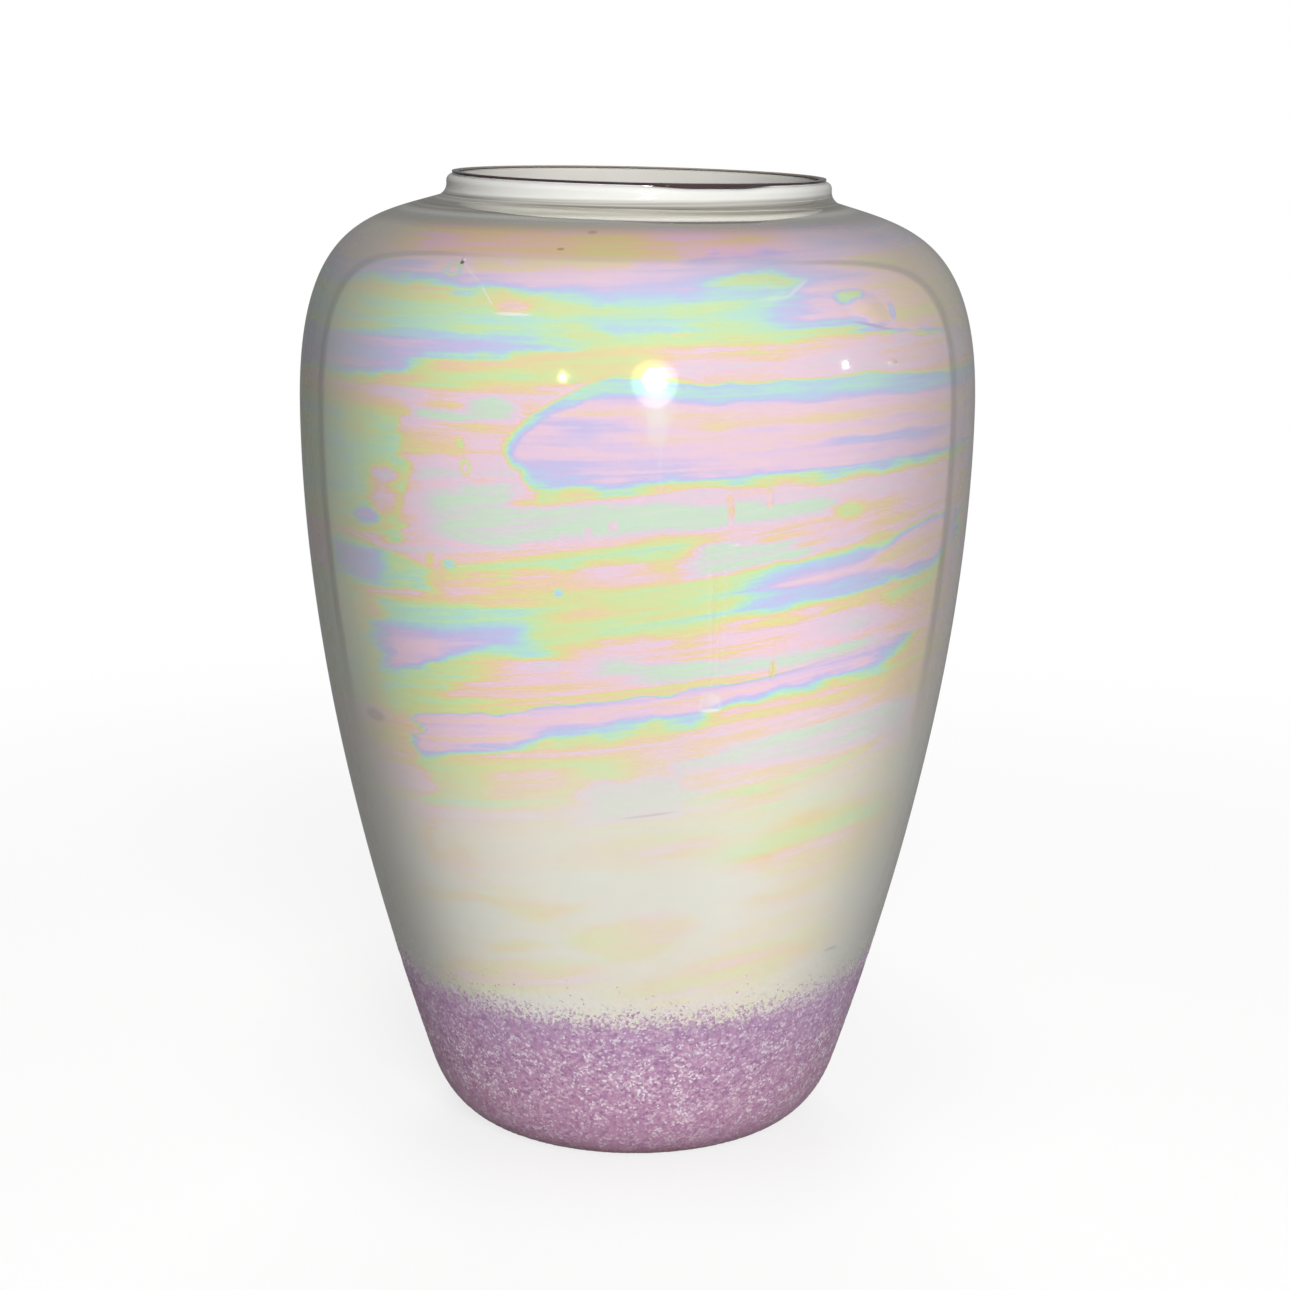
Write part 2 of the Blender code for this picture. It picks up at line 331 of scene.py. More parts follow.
@dataclass(frozen=True)
class OuterCurve:
    """Silhouette of the vase, from the resting ring to the lip."""

    rim_height: float = 0.2800
    foot_radius: float = 0.0438
    heel_reach: float = 0.0202
    heel_rise: float = 0.0337
    wall_flare: float = math.radians(18.2)
    wall_pull: float = 0.0862
    belly_radius: float = 0.0978
    belly_height: float = 0.2142
    belly_pull: float = 0.0504
    shoulder_slope: float = math.radians(16.6)
    shoulder_pull: float = 0.0203
    collar_radius: float = 0.0552
    collar_fillet: float = 0.0038
    fillet_height: float = 0.2764
    lip_round: float = 0.0019
    lip_height: float = 0.2772
    collar_tilt: float = math.radians(0.9)
    heel_steps: int = 40
    wall_steps: int = 90
    shoulder_steps: int = 60
    fillet_steps: int = 10
    lip_steps: int = 10

    @staticmethod
    def _arc(centre: Vector, reach: float, rise: float, start: float, end: float,
             steps: int) -> list[Vector]:
        """Points on an arc of a circle or an ellipse.

        Args:
            centre: Centre, as radius and height.
            reach: Half width.
            rise: Half height.
            start: First angle.
            end: Last angle.
            steps: Number of stretches.

        Returns:
            The points, as radius and height.
        """
        angles = [start + (end - start) * step / steps for step in range(steps + 1)]
        return [centre + Vector((reach * math.cos(angle), rise * math.sin(angle))) for angle in angles]

    @staticmethod
    def _cubic(start: Vector, pull: Vector, pull_end: Vector, end: Vector, steps: int) -> list[Vector]:
        """Points on a cubic curve, without its first.

        Args:
            start: First point.
            pull: Handle of the first point.
            pull_end: Handle of the last point.
            end: Last point.
            steps: Number of stretches.

        Returns:
            The points, as radius and height.
        """
        points = []
        for step in range(1, steps + 1):
            share = step / steps
            rest = 1.0 - share
            points.append(start * rest**3 + pull * 3.0 * rest**2 * share
                          + pull_end * 3.0 * rest * share**2 + end * share**3)
        return points

    @cached_property
    def points(self) -> list[Vector]:
        """The whole silhouette from the resting ring to the top of the lip, as radius and height.

        Returns:
            Its points.
        """
        heel_end = -math.atan(self.heel_rise / self.heel_reach * math.tan(self.wall_flare))
        heel = self._arc(Vector((self.foot_radius, self.heel_rise)), self.heel_reach, self.heel_rise,
                         -math.pi / 2.0, heel_end, self.heel_steps)
        belly = Vector((self.belly_radius, self.belly_height))
        pull = Vector((0.0, self.belly_pull))
        flare = Vector((math.sin(self.wall_flare), math.cos(self.wall_flare))) * self.wall_pull
        wall = self._cubic(heel[-1], heel[-1] + flare, belly - pull, belly, self.wall_steps)
        fillet = self._arc(Vector((self.collar_radius + self.collar_fillet, self.fillet_height)),
                           self.collar_fillet, self.collar_fillet,
                           1.5 * math.pi - self.shoulder_slope, math.pi, self.fillet_steps)
        slope = Vector((math.cos(self.shoulder_slope), -math.sin(self.shoulder_slope)))
        shoulder = self._cubic(belly, belly + pull, fillet[0] + slope * self.shoulder_pull, fillet[0],
                               self.shoulder_steps)
        lip = self._arc(Vector((self.collar_radius - self.lip_round, self.lip_height)),
                        self.lip_round, self.lip_round, 0.0, math.pi / 2.0, self.lip_steps)
        return heel + wall + shoulder + fillet[1:] + lip

    def between(self, low: float, high: float) -> list[Vector]:
        """Points of the silhouette from one height to another, both included.

        Args:
            low: Lower height.
            high: Upper height.

        Returns:
            The points, as radius and height.
        """
        inner = [point for point in self.points if low + MERGE_DISTANCE < point.y < high - MERGE_DISTANCE]
        return [Vector((self.radius(low), low)), *inner, Vector((self.radius(high), high))]

    def stretch(self, height: float) -> tuple[Vector, Vector]:
        """The two neighbouring points of the silhouette that a height lies between.

        Args:
            height: The height.

        Returns:
            The lower and the upper point, as radius and height.
        """
        index = bisect_left(self.points, height, key=lambda point: point.y)
        index = min(max(index, 1), len(self.points) - 1)
        return self.points[index - 1], self.points[index]

    def radius(self, height: float) -> float:
        """Radius of the silhouette at a height.

        Args:
            height: The height.

        Returns:
            The radius.
        """
        below, above = self.stretch(height)
        share = (height - below.y) / max(MERGE_DISTANCE, above.y - below.y)
        return below.x + (above.x - below.x) * min(1.0, max(0.0, share))

    def on_wall(self, turn: float, height: float, out: float = 0.0) -> Vector:
        """A place on the outer face, before the collar is tilted.

        Args:
            turn: Degrees to the right of the front.
            height: Height above the resting plane.
            out: Distance off the face, square to it.

        Returns:
            The place.
        """
        below, above = self.stretch(height)
        ahead = (above - below).normalized()
        radius = self.radius(height) + ahead.y * out
        angle = math.radians(turn)
        return Vector((radius * math.sin(angle), -radius * math.cos(angle), height - ahead.x * out))

    @staticmethod
    def inward(points: list[Vector], depth: Callable[[float], float]) -> list[Vector]:
        """Points set into the wall.

        Args:
            points: A run of the silhouette, from the foot towards the lip.
            depth: How far they are set in at a height, square to the silhouette.

        Returns:
            The points, in the same order.
        """
        result = []
        for index, point in enumerate(points):
            ahead = points[min(index + 1, len(points) - 1)] - points[max(index - 1, 0)]
            result.append(point - Vector((ahead.y, -ahead.x)).normalized() * depth(point.y))
        return result

    def tilt(self, bm: bmesh.types.BMesh) -> None:
        """Set the shoulder and the collar a little high on the left, as the CAD model has them.

        Args:
            bm: Mesh of a piece, which is changed.
        """
        for vert in bm.verts:
            share = (vert.co.z - self.belly_height) / (self.fillet_height - self.belly_height)
            vert.co.z -= vert.co.x * math.tan(self.collar_tilt) * ease(share)


def ease(share: float) -> float:
    """0 below 0, 1 above 1 and an eased rise between."""
    share = min(1.0, max(0.0, share))
    return share * share * (3.0 - 2.0 * share)


def turned(profile: list[Vector], segments: int, closed: bool = True) -> bmesh.types.BMesh:
    """Turn a section about the vase's axis: a narrow sector is spun, then copied round the axis.

    Args:
        profile: Points of the section, as radius and height.
        segments: Number of steps round the axis, a multiple of 2**SECTOR_DOUBLINGS.
        closed: Whether the last point joins the first.

    Returns:
        The turned mesh.
    """
    bm = bmesh.new()
    verts = [bm.verts.new((point.x, 0.0, point.y)) for point in profile]
    pairs = list(zip(verts, verts[1:]))
    if closed:
        pairs.append((verts[-1], verts[0]))
    edges = [bm.edges.new(pair) for pair in pairs]
    angle = math.tau / 2**SECTOR_DOUBLINGS
    bmesh.ops.spin(bm, geom=verts + edges, cent=(0.0, 0.0, 0.0), axis=(0.0, 0.0, 1.0),
                   angle=angle, steps=segments // 2**SECTOR_DOUBLINGS)
    for _ in range(SECTOR_DOUBLINGS):
        copied = bmesh.ops.duplicate(bm, geom=bm.verts[:] + bm.edges[:] + bm.faces[:])["geom"]
        bmesh.ops.rotate(bm, verts=[item for item in copied if isinstance(item, bmesh.types.BMVert)],
                         cent=(0.0, 0.0, 0.0), matrix=Matrix.Rotation(angle, 3, "Z"))
        angle *= 2.0
    bmesh.ops.remove_doubles(bm, verts=bm.verts, dist=MERGE_DISTANCE)
    bmesh.ops.recalc_face_normals(bm, faces=bm.faces)
    return bm


def add_piece(name: str, bm: bmesh.types.BMesh, material: bpy.types.Material, slot: Slot,
              *replaced: str) -> None:
    """Put a finished mesh into the scene as a piece that rides on the vase.

    Args:
        name: Name of the piece.
        bm: Its mesh, in the frame of the model.
        material: Its finish.
        slot: The record's slot that the finish belongs to. Not used.
        replaced: CAD nodes that the piece stands for.
    """
    mesh = bpy.data.meshes.new(name)
    bm.to_mesh(mesh)
    bm.free()
    mesh.materials.append(material)
    mesh.shade_smooth()
    mesh.set_sharp_from_angle(angle=SHARP_ANGLE)
    piece = bpy.data.objects.new(name, mesh)
    bpy.context.scene.collection.objects.link(piece)
    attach(piece, "root")
    if replaced:
        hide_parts(*replaced)
    LOG.info("%s: %d faces, stands for %s", name, len(mesh.polygons), ", ".join(replaced) or "nothing")


@dataclass(frozen=True)
class HeightTint:
    """A colour that the frit takes on over a zone of heights, and how far the zone wanders."""

    colour: Colour
    zone: Rise
    wander: float


@dataclass(frozen=True)
class FritGrain:
    """Crushed lilac glass melted into the wall, as colours by grain and by height, with painted shade along
    the bottom edge.

    Sizes of grains are metres, waves are per metre, and heights at the ragged upper edge millimetres.
    """

    grain: float = 0.00100
    speck: float = 0.00068
    clump_waves: float = 260.0
    shade_waves: float = 200.0
    tint_waves: float = 60.0
    edge_waves: float = 45.0
    edge: float = 50.0
    edge_lift: float = 5.0
    ragged: float = 2.4
    thinning: float = 4.4
    blur: float = 0.28
    deep: Colour = (0.330, 0.160, 0.310)
    lilac: Colour = (0.500, 0.280, 0.430)
    pale: Colour = (0.690, 0.500, 0.620)
    white: Colour = (0.880, 0.840, 0.860)
    plum: Colour = (0.200, 0.080, 0.180)
    sparkle: Rise = (0.76, 1.02, 0.85)
    sparkle_clumps: float = 0.62
    dots: Rise = (0.22, 0.0, 0.5)
    dot_clumps: float = 0.20
    shade: Rise = (0.02, 0.55, 0.52)
    violet: HeightTint = HeightTint((0.350, 0.240, 0.430), (24.0, 50.0, 0.38), 16.0)
    rose: HeightTint = HeightTint((0.440, 0.215, 0.320), (30.0, 8.0, 0.35), 10.0)
    # Painted shade along the bottom edge, darker and redder towards the resting ring.
    bottom_edge_shade: HeightTint = HeightTint((0.240, 0.075, 0.090), (8.0, 0.5, 0.70), 3.0)

    @staticmethod
    def chance(at: AxisPlace, size: float, channel: str) -> Signal:
        """A number that is the same all over a grain and differs from grain to grain.

        Args:
            at: Place on the wall.
            size: Size of the grains.
            channel: Channel of the grains' random colour that gives the number.

        Returns:
            The number, from 0 to 1.
        """
        cell = at.wiring.node("ShaderNodeTexVoronoi", {"feature": "F1"},
                              {"Vector": at.place, "Scale": 1.0 / size, "Randomness": 1.0}, "Color")
        return at.wiring.node("ShaderNodeSeparateColor", inputs={"Color": cell}, output=channel)

    def colour(self, at: AxisPlace) -> Signal:
        """Colour of the grains, with painted shade along the bottom edge.

        Args:
            at: Place on the wall.

        Returns:
            The colour.
        """
        wiring = at.wiring
        speck = self.chance(at, self.speck, "Green")
        clump = wiring.noise(at.place, self.clump_waves, 3.0, 0.6)
        shade = wiring.noise(at.place, self.shade_waves, 3.0, 0.6)
        drift = wiring.noise(at.place, self.tint_waves, 3.0)
        colour = wiring.node("ShaderNodeValToRGB", {"stops": [
            (0.0, self.deep), (0.30, self.lilac), (0.60, self.lilac), (1.0, self.pale)]},
            {"Fac": self.chance(at, self.grain, "Red")})
        colour = wiring.mix((speck + clump * self.sparkle_clumps).eased(*self.sparkle), colour, self.white)
        colour = wiring.mix((speck + clump * self.dot_clumps).eased(*self.dots), colour, self.plum)
        colour = wiring.mix(shade.eased(*self.shade), colour, self.deep)
        # The last tint is painted shade along the bottom edge.
        for tint in (self.violet, self.rose, self.bottom_edge_shade):
            colour = wiring.mix((at.height + drift * tint.wander).eased(*tint.zone), colour, tint.colour)
        return colour

    def cover(self, at: AxisPlace) -> Signal:
        """How much of the surface the grains cover near their ragged upper edge.

        Args:
            at: Place on the wall.

        Returns:
            1 on a grain and 0 on bare glass.
        """
        wander = at.wiring.noise(at.place, self.edge_waves, 4.0, 0.6) * self.ragged
        line = wander + (1.0 - at.facing) * self.edge_lift + self.edge
        density = ((line - at.height) / self.thinning) * 0.5 + 0.5
        return (density - self.chance(at, self.speck, "Blue")).eased(-self.blur, self.blur)


@dataclass(frozen=True)
class Edge:
    """Upper or lower edge of a swath.

    It has a height at the front in millimetres, a rise over ten degrees of turn, and a width over which
    the film changes.
    """

    height: float
    rise: float = 0.0
    soft: float = 3.0

    def passed(self, height: Signal, swing: Signal, upwards: bool, full: Signal | float) -> Signal:
        """Share of the way across the edge.

        Args:
            height: Height in millimetres.
            swing: Sine of the turn from the front, in degrees.
            upwards: Whether the swath lies above the edge.
            full: The share inside the swath.

        Returns:
            The share, 0 outside the swath.
        """
        level = swing.math("MULTIPLY_ADD", -self.rise / 10.0, height) if self.rise else height
        half = self.soft / 2.0 if upwards else -self.soft / 2.0
        return level.eased(self.height - half, self.height + half, full)


@dataclass(frozen=True)
class Swath:
    """A swipe of lustre of one thickness, laid over those before it.

    Its left and right ends are a turn in degrees and a width over which the film changes. A nose rounds
    the left end: it is the height of its tip and how fast it curls back.
    """

    film: float
    top: Edge | None = None
    bottom: Edge | None = None
    left: tuple[float, float] | None = None
    right: tuple[float, float] | None = None
    nose: tuple[float, float] | None = None

    def cover(self, height: Signal, swing: Signal, turn: Signal) -> Signal:
        """Where the swipe lies.

        Args:
            height: Height in millimetres.
            swing: Sine of the turn from the front, in degrees.
            turn: Turn from the front, in degrees.

        Returns:
            0 off the swipe and 1 on it.
        """
        share: Signal | float = 1.0
        if self.top:
            share = self.top.passed(height, swing, False, share)
        if self.bottom:
            share = self.bottom.passed(height, swing, True, share)
        if self.left:
            start, soft = self.left
            ahead = turn
            if self.nose:
                tip, curl = self.nose
                off = height - tip
                ahead = turn - off * off * curl
            share = ahead.eased(start - soft / 2.0, start + soft / 2.0, share)
        if self.right:
            end, soft = self.right
            share = turn.eased(end + soft / 2.0, end - soft / 2.0, share)
        return share


@dataclass(frozen=True)
class Spot:
    """An oval on the wall, or only its rim.

    Its level is the film's thickness on a drip, a drop or a bubble ring, and the strength of a wash or a
    mark. Its turn and its half width are degrees, its height and its half height millimetres, and its
    lean is an angle on the chart of both, in degrees upwards to the right.
    """

    level: float
    turn: float
    height: float
    reach: float
    rise: float
    ring: bool = False
    lean: float = 0.0
    rim_blur: ClassVar[Span] = (0.40, 0.12)
    oval_blur: ClassVar[Span] = (1.30, 0.60)

    def cover(self, chart: Signal, full: float = 1.0) -> Signal:
        """Where the spot lies.

        Args:
            chart: Vector of the turn in degrees and the height in millimetres.
            full: The share on the spot.

        Returns:
            The share, 0 off the spot.
        """
        local = chart.wiring.node("ShaderNodeMapping", {"vector_type": "TEXTURE"}, {
            "Vector": chart, "Location": (self.turn, self.height, 0.0),
            "Rotation": (0.0, 0.0, math.radians(self.lean)), "Scale": (self.reach, self.rise, 1.0)})
        distance = chart.wiring.node("ShaderNodeVectorMath", {"operation": "LENGTH"}, {0: local}, "Value")
        if self.ring:
            return abs(distance - 1.0).eased(*self.rim_blur, full)
        return distance.eased(*self.oval_blur, full)

    @staticmethod
    def total(chart: Signal, spots: list["Spot"]) -> Signal:
        """Sum of what spots cover, each by its own level.

        Args:
            chart: Vector of the turn in degrees and the height in millimetres.
            spots: The spots.

        Returns:
            The sum.
        """
        covers = [spot.cover(chart, spot.level) for spot in spots]
        return sum(covers[1:], covers[0])


@dataclass(frozen=True)
class Unevenness:
    """Noise that is stretched along the swipes.

    It has waves per metre round the wall and per millimetre up it. It moves the edges of swipes by
    millimetres, their ends by degrees, and the film by a share of a turn of its colours.
    """

    around: float
    up: float
    detail: float = 2.0
    roughness: float = 0.5
    edges: float = 0.0
    ends: float = 0.0
    film: float = 0.0

    def level(self, at: AxisPlace, height: Signal) -> Signal:
        """Level of the noise.

        Args:
            at: Place on the wall.
            height: Height along the swipes, in millimetres.

        Returns:
            The level, of about -1 to 1.
        """
        stretched = at.wiring.vector(at.x * self.around, at.y * self.around, height * self.up)
        return at.wiring.noise(stretched, 1.0, self.detail, self.roughness)


@dataclass(frozen=True)
class FilmDepth:
    """How strongly the film's colours show: fully above, paler at the sides, in washes low on the wall."""

    top: Span = (270.5, 267.5)
    bottom: Span = (98.0, 146.0)
    front_left: Span = (-64.0, -40.0)
    front_right: Span = (76.0, 52.0)
    back: Span = (95.0, 130.0)
    side_loss: float = 0.45
    low_side_loss: Rise = (178.0, 160.0, 0.3)
    drift: Unevenness = Unevenness(18.0, 0.07, 3.0, edges=6.0, ends=16.0)
    mottle: Unevenness = Unevenness(60.0, 0.22, 4.0, 0.6)
    drift_wash: Rise = (-0.1, 0.5, 0.30)
    mottle_wash: Rise = (0.05, 0.6, 0.25)

    @staticmethod
    def washes() -> list[Spot]:
        """Thin washes of film on the cream lower wall, by how strong they are.

        Returns:
            The washes.
        """
        return [
            Spot(0.40, -18.0, 88.5, 10.0, 2.8),
            Spot(0.42, -1.0, 76.0, 12.0, 7.0),
            Spot(0.55, 40.0, 94.0, 20.0, 13.0),
            Spot(0.40, -42.0, 116.0, 2.4, 18.0),
            Spot(0.45, -30.0, 66.0, 26.0, 6.0),
            Spot(0.42, 24.0, 60.0, 26.0, 7.0),
            Spot(0.36, -24.0, 76.0, 7.0, 2.4),
            Spot(0.36, -35.0, 102.0, 7.0, 5.0),
            Spot(0.36, -36.0, 92.0, 18.0, 2.0),
            Spot(0.30, 32.0, 71.0, 16.0, 4.0),
            Spot(0.30, 4.0, 103.0, 18.0, 5.0),
            Spot(0.35, 33.0, 120.0, 26.0, 7.0),
        ]

    def share(self, at: AxisPlace, along: Signal) -> Signal:
        """Share of the film's colours that shows.

        Args:
            at: Place on the wall.
            along: Height along the swipes, in millimetres.

        Returns:
            The share.
        """
        drift = self.drift.level(at, along)
        mottle = self.mottle.level(at, along)
        chart = at.wiring.vector(at.turn + drift * self.drift.ends, along + drift * self.drift.edges, 0.0)
        washed = drift.eased(*self.drift_wash) + mottle.eased(*self.mottle_wash)
        washed = washed + Spot.total(chart, self.washes())
        strong = along.eased(*self.bottom)
        front = at.turn.eased(*self.front_left, at.turn.eased(*self.front_right))
        aside = 1.0 - (front + abs(at.turn).eased(*self.back))
        paled = aside * (at.height.eased(*self.low_side_loss) + self.side_loss)
        return (strong + (1.0 - strong) * washed) * (1.0 - paled) * at.height.eased(*self.top)


@dataclass(frozen=True)
class CollarShade:
    """Painted shade and dark reflection in the fillet under the collar, as beige lines, and a soft brow of
    painted shade on the shoulder below them.
    """

    colour: Colour = (0.27, 0.25, 0.22)
    on_film: float = 0.45
    fillet_bottom: Span = (270.9, 271.7)
    fillet_top: Span = (275.8, 274.7)
    lines: Unevenness = Unevenness(12.0, 1.7)
    line_depth: float = 1.1
    strength: float = 0.75
    brow_bottom: Span = (267.0, 269.5)
    brow_top: Rise = (270.8, 270.0, 0.45)

    def cover(self, at: AxisPlace) -> Signal:
        """Where the painted shade lies.

        Args:
            at: Place on the wall.

        Returns:
            Its strength, 0 off the collar.
        """
        lines = self.lines.level(at, at.height) * self.line_depth + self.strength
        fillet = at.height.eased(*self.fillet_bottom) * at.height.eased(*self.fillet_top) * lines
        return fillet + at.height.eased(*self.brow_bottom) * at.height.eased(*self.brow_top)


@dataclass(frozen=True)
class PearlLustre:
    """Iridescent metal film on clear glass over white opal, and frit grains at its lower edge.

    The film's thickness is counted in turns of its colours, heights in millimetres and turns in degrees.
    """

    opal: Colour = (0.82, 0.82, 0.80)
    neutral: Colour = (0.81, 0.79, 0.66)
    # Colour of strokes of wear and of painted shade.
    wear_and_shade: Colour = (0.15, 0.11, 0.08)
    # Colour of pale marks and painted highlights.
    pale_mark_and_highlight: Colour = (0.97, 0.96, 0.91)
    lip_white: Colour = (0.735, 0.730, 0.705)
    lip_zone: Span = (274.5, 276.5)
    blush_bottom: Span = (260.5, 263.5)
    blush_top: Rise = (270.0, 267.5, 0.5)
    blush_left: Span = (-66.0, -36.0)
    blush_right: Span = (40.0, 18.0)
    film_weight: float = 0.66
    film_top: Span = (277.0, 272.0)
    film_under_frit: float = 0.15
    thinnest: float = -0.5
    thickest: float = 1.25
    film_roughness: float = 0.06
    glass_roughness: float = 0.08
    frit: FritGrain = FritGrain()
    depth: FilmDepth = FilmDepth()
    # Painted shade and dark reflection in the fillet under the collar.
    collar_shade: CollarShade = CollarShade()
    broad: Unevenness = Unevenness(26.0, 0.060, edges=2.4, film=0.12)
    bulge: Unevenness = Unevenness(70.0, 0.13, 3.0, 0.55, edges=2.4, ends=3.0, film=0.14)
    streak: Unevenness = Unevenness(11.0, 0.26, 4.0, 0.6, edges=2.4, ends=9.0, film=0.34)
    brush: Unevenness = Unevenness(20.0, 1.1, 4.0, 0.65, film=0.28)
    speckle_waves: float = 1400.0
    speckle: float = 0.07
    slant: Rise = (214.0, 196.0, 0.18)
    least_slant: float = 0.04
    oval_bulge: float = 2.0
    spot_bulge: float = 2.0
    wash_bulge: float = 2.2
    broad_film: float = 0.14
    back: Span = (88.0, 125.0)
    back_film: Rise = (60.0, 275.0, 1.1)
    back_streaks: float = 0.6
    back_start: float = -0.15

    def colours(self) -> list[tuple[float, Colour]]:
        """Colour of the film by its thickness, as stops of a ramp.

        Returns:
            Place of each stop from 0 to 1, and its colour.
        """
        stops = [(-0.50, (0.74, 0.80, 0.68)), (-0.30, (0.50, 0.84, 0.50)), (-0.12, (0.80, 0.61, 0.78)),
                 (0.00, (1.00, 0.54, 0.79)), (0.12, (1.00, 0.57, 0.18)), (0.22, (0.84, 0.75, 0.04)),
                 (0.34, (0.52, 0.91, 0.18)), (0.47, (0.30, 0.86, 0.68)), (0.60, (0.34, 0.56, 1.00)),
                 (0.75, (0.52, 0.41, 0.95)), (0.92, (0.97, 0.53, 0.82)), (1.02, (1.00, 0.56, 0.64)),
                 (1.12, (1.00, 0.60, 0.27)), (1.25, (0.82, 0.76, 0.14))]
        span = self.thickest - self.thinnest
        return [((place - self.thinnest) / span, colour) for place, colour in stops]

    @staticmethod
    def shoulder() -> list[Swath]:
        """Swipes from the collar down to the belly.

        Returns:
            The swipes, each laid over those before it.
        """
        round_right, round_left = (152.0, 50.0), (-152.0, 50.0)
        return [
            Swath(0.37, bottom=Edge(241.0, 0.0, 4.0)),
            Swath(0.24, Edge(252.8, 0.0, 2.0), Edge(249.8, 0.0, 2.5), (-72.0, 20.0), (-2.0, 10.0)),
            Swath(0.50, Edge(248.5, 0.2, 4.0), Edge(242.0, 0.5, 3.0), (-50.0, 14.0), (-16.0, 12.0)),
            Swath(0.54, Edge(247.0, -0.6, 3.0), Edge(243.6, -0.4, 2.5), (-9.0, 8.0), (8.0, 10.0)),
            Swath(0.84, bottom=Edge(255.4, 0.2, 5.0)),
            Swath(0.86, Edge(262.0), Edge(246.0, 0.0, 6.0), (27.0, 12.0), round_right),
            Swath(1.13, bottom=Edge(261.6, 0.6, 2.6), left=round_left, right=(31.0, 18.0)),
            Swath(1.16, Edge(262.5), Edge(242.4, -0.3, 2.0), (40.0, 16.0), round_right),
            Swath(0.74, Edge(240.8, 0.1, 2.0), Edge(242.8, 2.8, 6.5), round_left),
            Swath(0.27, Edge(240.6, 2.6, 4.0), Edge(231.5, 1.4, 5.0), (-38.0, 14.0), (3.0, 10.0)),
        ]

    @staticmethod
    def long_oval() -> list[Swath]:
        """The long oval at the belly, whose left end is rounded.

        Returns:
            The swipes, each laid over those before it.
        """
        right, tip = (152.0, 50.0), 213.0
        return [
            Swath(0.53, Edge(232.3, -0.3, 1.8), Edge(203.8, 0.55, 4.6), (-20.4, 2.0), right, (tip, 0.045)),
            Swath(0.92, Edge(226.8, -0.2, 3.0), Edge(206.8, 0.4, 4.4), (-19.2, 2.6), right, (tip, 0.065)),
            Swath(1.08, Edge(224.2, -0.3, 2.0), Edge(220.6, -0.2, 2.0), (-10.0, 12.0), right),
            Swath(1.06, Edge(217.8, 0.0, 2.0), Edge(214.6, 0.0, 2.5), (-2.0, 14.0), right),
        ]

    @staticmethod
    def left_patches() -> list[Swath]:
        """Patches at the left, where level swipes end against slanting ones.

        Returns:
            The swipes, each laid over those before it.
        """
        return [
            Swath(-0.28, Edge(203.5), Edge(188.0, 0.0, 4.0), (-29.0, 6.0), (-18.5, 4.0)),
            Swath(0.14, Edge(216.5, 0.0, 2.0), Edge(210.5, 0.0, 2.5), (-41.0, 2.0), (-27.0, 5.0)),
            Swath(0.38, Edge(219.0, -0.8, 8.0), Edge(185.2, 0.0, 2.0), (-152.0, 50.0), (-39.6, 2.6)),
            Swath(0.38, Edge(171.5, -2.7, 2.5), Edge(177.5, 1.5), (-62.0, 8.0), (-34.0, 5.0)),
            Swath(0.73, Edge(181.8, 0.0, 2.5), Edge(174.0, 0.0, 3.5), (-62.0, 6.0), (-46.0, 6.0)),
        ]

    @staticmethod
    def waist() -> list[Swath]:
        """Slanting swipes between the oval and the sharp step.

        Returns:
            The swipes, each laid over those before it.
        """
        step = Edge(147.0, 2.5, 1.0)
        return [
            Swath(0.32, Edge(172.0), None, (-152.0, 50.0), (-50.0, 10.0)),
            Swath(-0.30, Edge(199.8, 0.0, 2.5), Edge(192.6, 1.4), (-33.0, 8.0), (33.0, 6.0)),
            Swath(0.30, Edge(190.3, 2.9, 2.6), Edge(185.6, 2.3, 3.4), (-31.0, 8.0), (11.0, 10.0)),
            Swath(0.12, Edge(180.0, 1.2), Edge(176.0, 1.6), (-26.0, 10.0), (-2.0, 10.0)),
            Swath(-0.14, Edge(176.8, 1.6, 1.6), Edge(174.2, 1.3, 1.4), (-27.0, 6.0), (6.0, 8.0)),
            Swath(-0.28, Edge(188.3, 1.2, 2.4), Edge(180.3, 0.5, 2.0), (9.5, 4.0), (27.0, 5.0)),
            Swath(0.43, Edge(176.2, 1.65, 3.4), Edge(158.0, 1.0, 4.0), (-48.0, 6.0), (-11.0, 10.0)),
            Swath(0.29, Edge(178.6, 2.2), Edge(163.8, 1.4, 3.6), (-17.0, 12.0), (62.0, 12.0)),
            Swath(0.29, Edge(166.0, 3.5, 4.5), step, (-50.0, 6.0), (-22.0, 14.0)),
            Swath(0.72, Edge(169.8, 1.9, 4.0), Edge(168.0, 3.6, 4.5), (-50.0, 6.0), (-17.0, 8.0)),
            Swath(0.90, Edge(164.5, 1.0), Edge(165.5, 3.6), (-47.0, 6.0), (-32.0, 8.0)),
            Swath(0.64, Edge(176.5, 2.6, 4.0), Edge(166.5, 1.8, 3.6), (17.0, 14.0), (60.0, 12.0)),
            Swath(0.84, Edge(177.0, 1.2), Edge(171.5, 1.2, 4.0), (24.0, 10.0), (60.0, 12.0)),
            Swath(1.04, Edge(172.0, 3.4), Edge(167.0, 2.6), (43.0, 8.0), (70.0, 12.0)),
            Swath(-0.30, Edge(158.2, 0.4, 2.0), Edge(151.6, 1.5, 2.0), (-6.0, 8.0), (42.0, 10.0)),
            Swath(0.08, Edge(154.5, 2.6, 2.5), Edge(151.0, 2.4, 2.0), (-34.0, 8.0), (0.0, 10.0)),
            Swath(0.24, Edge(150.4, 2.6, 2.0), step, (-45.0, 10.0), (16.0, 12.0)),
        ]

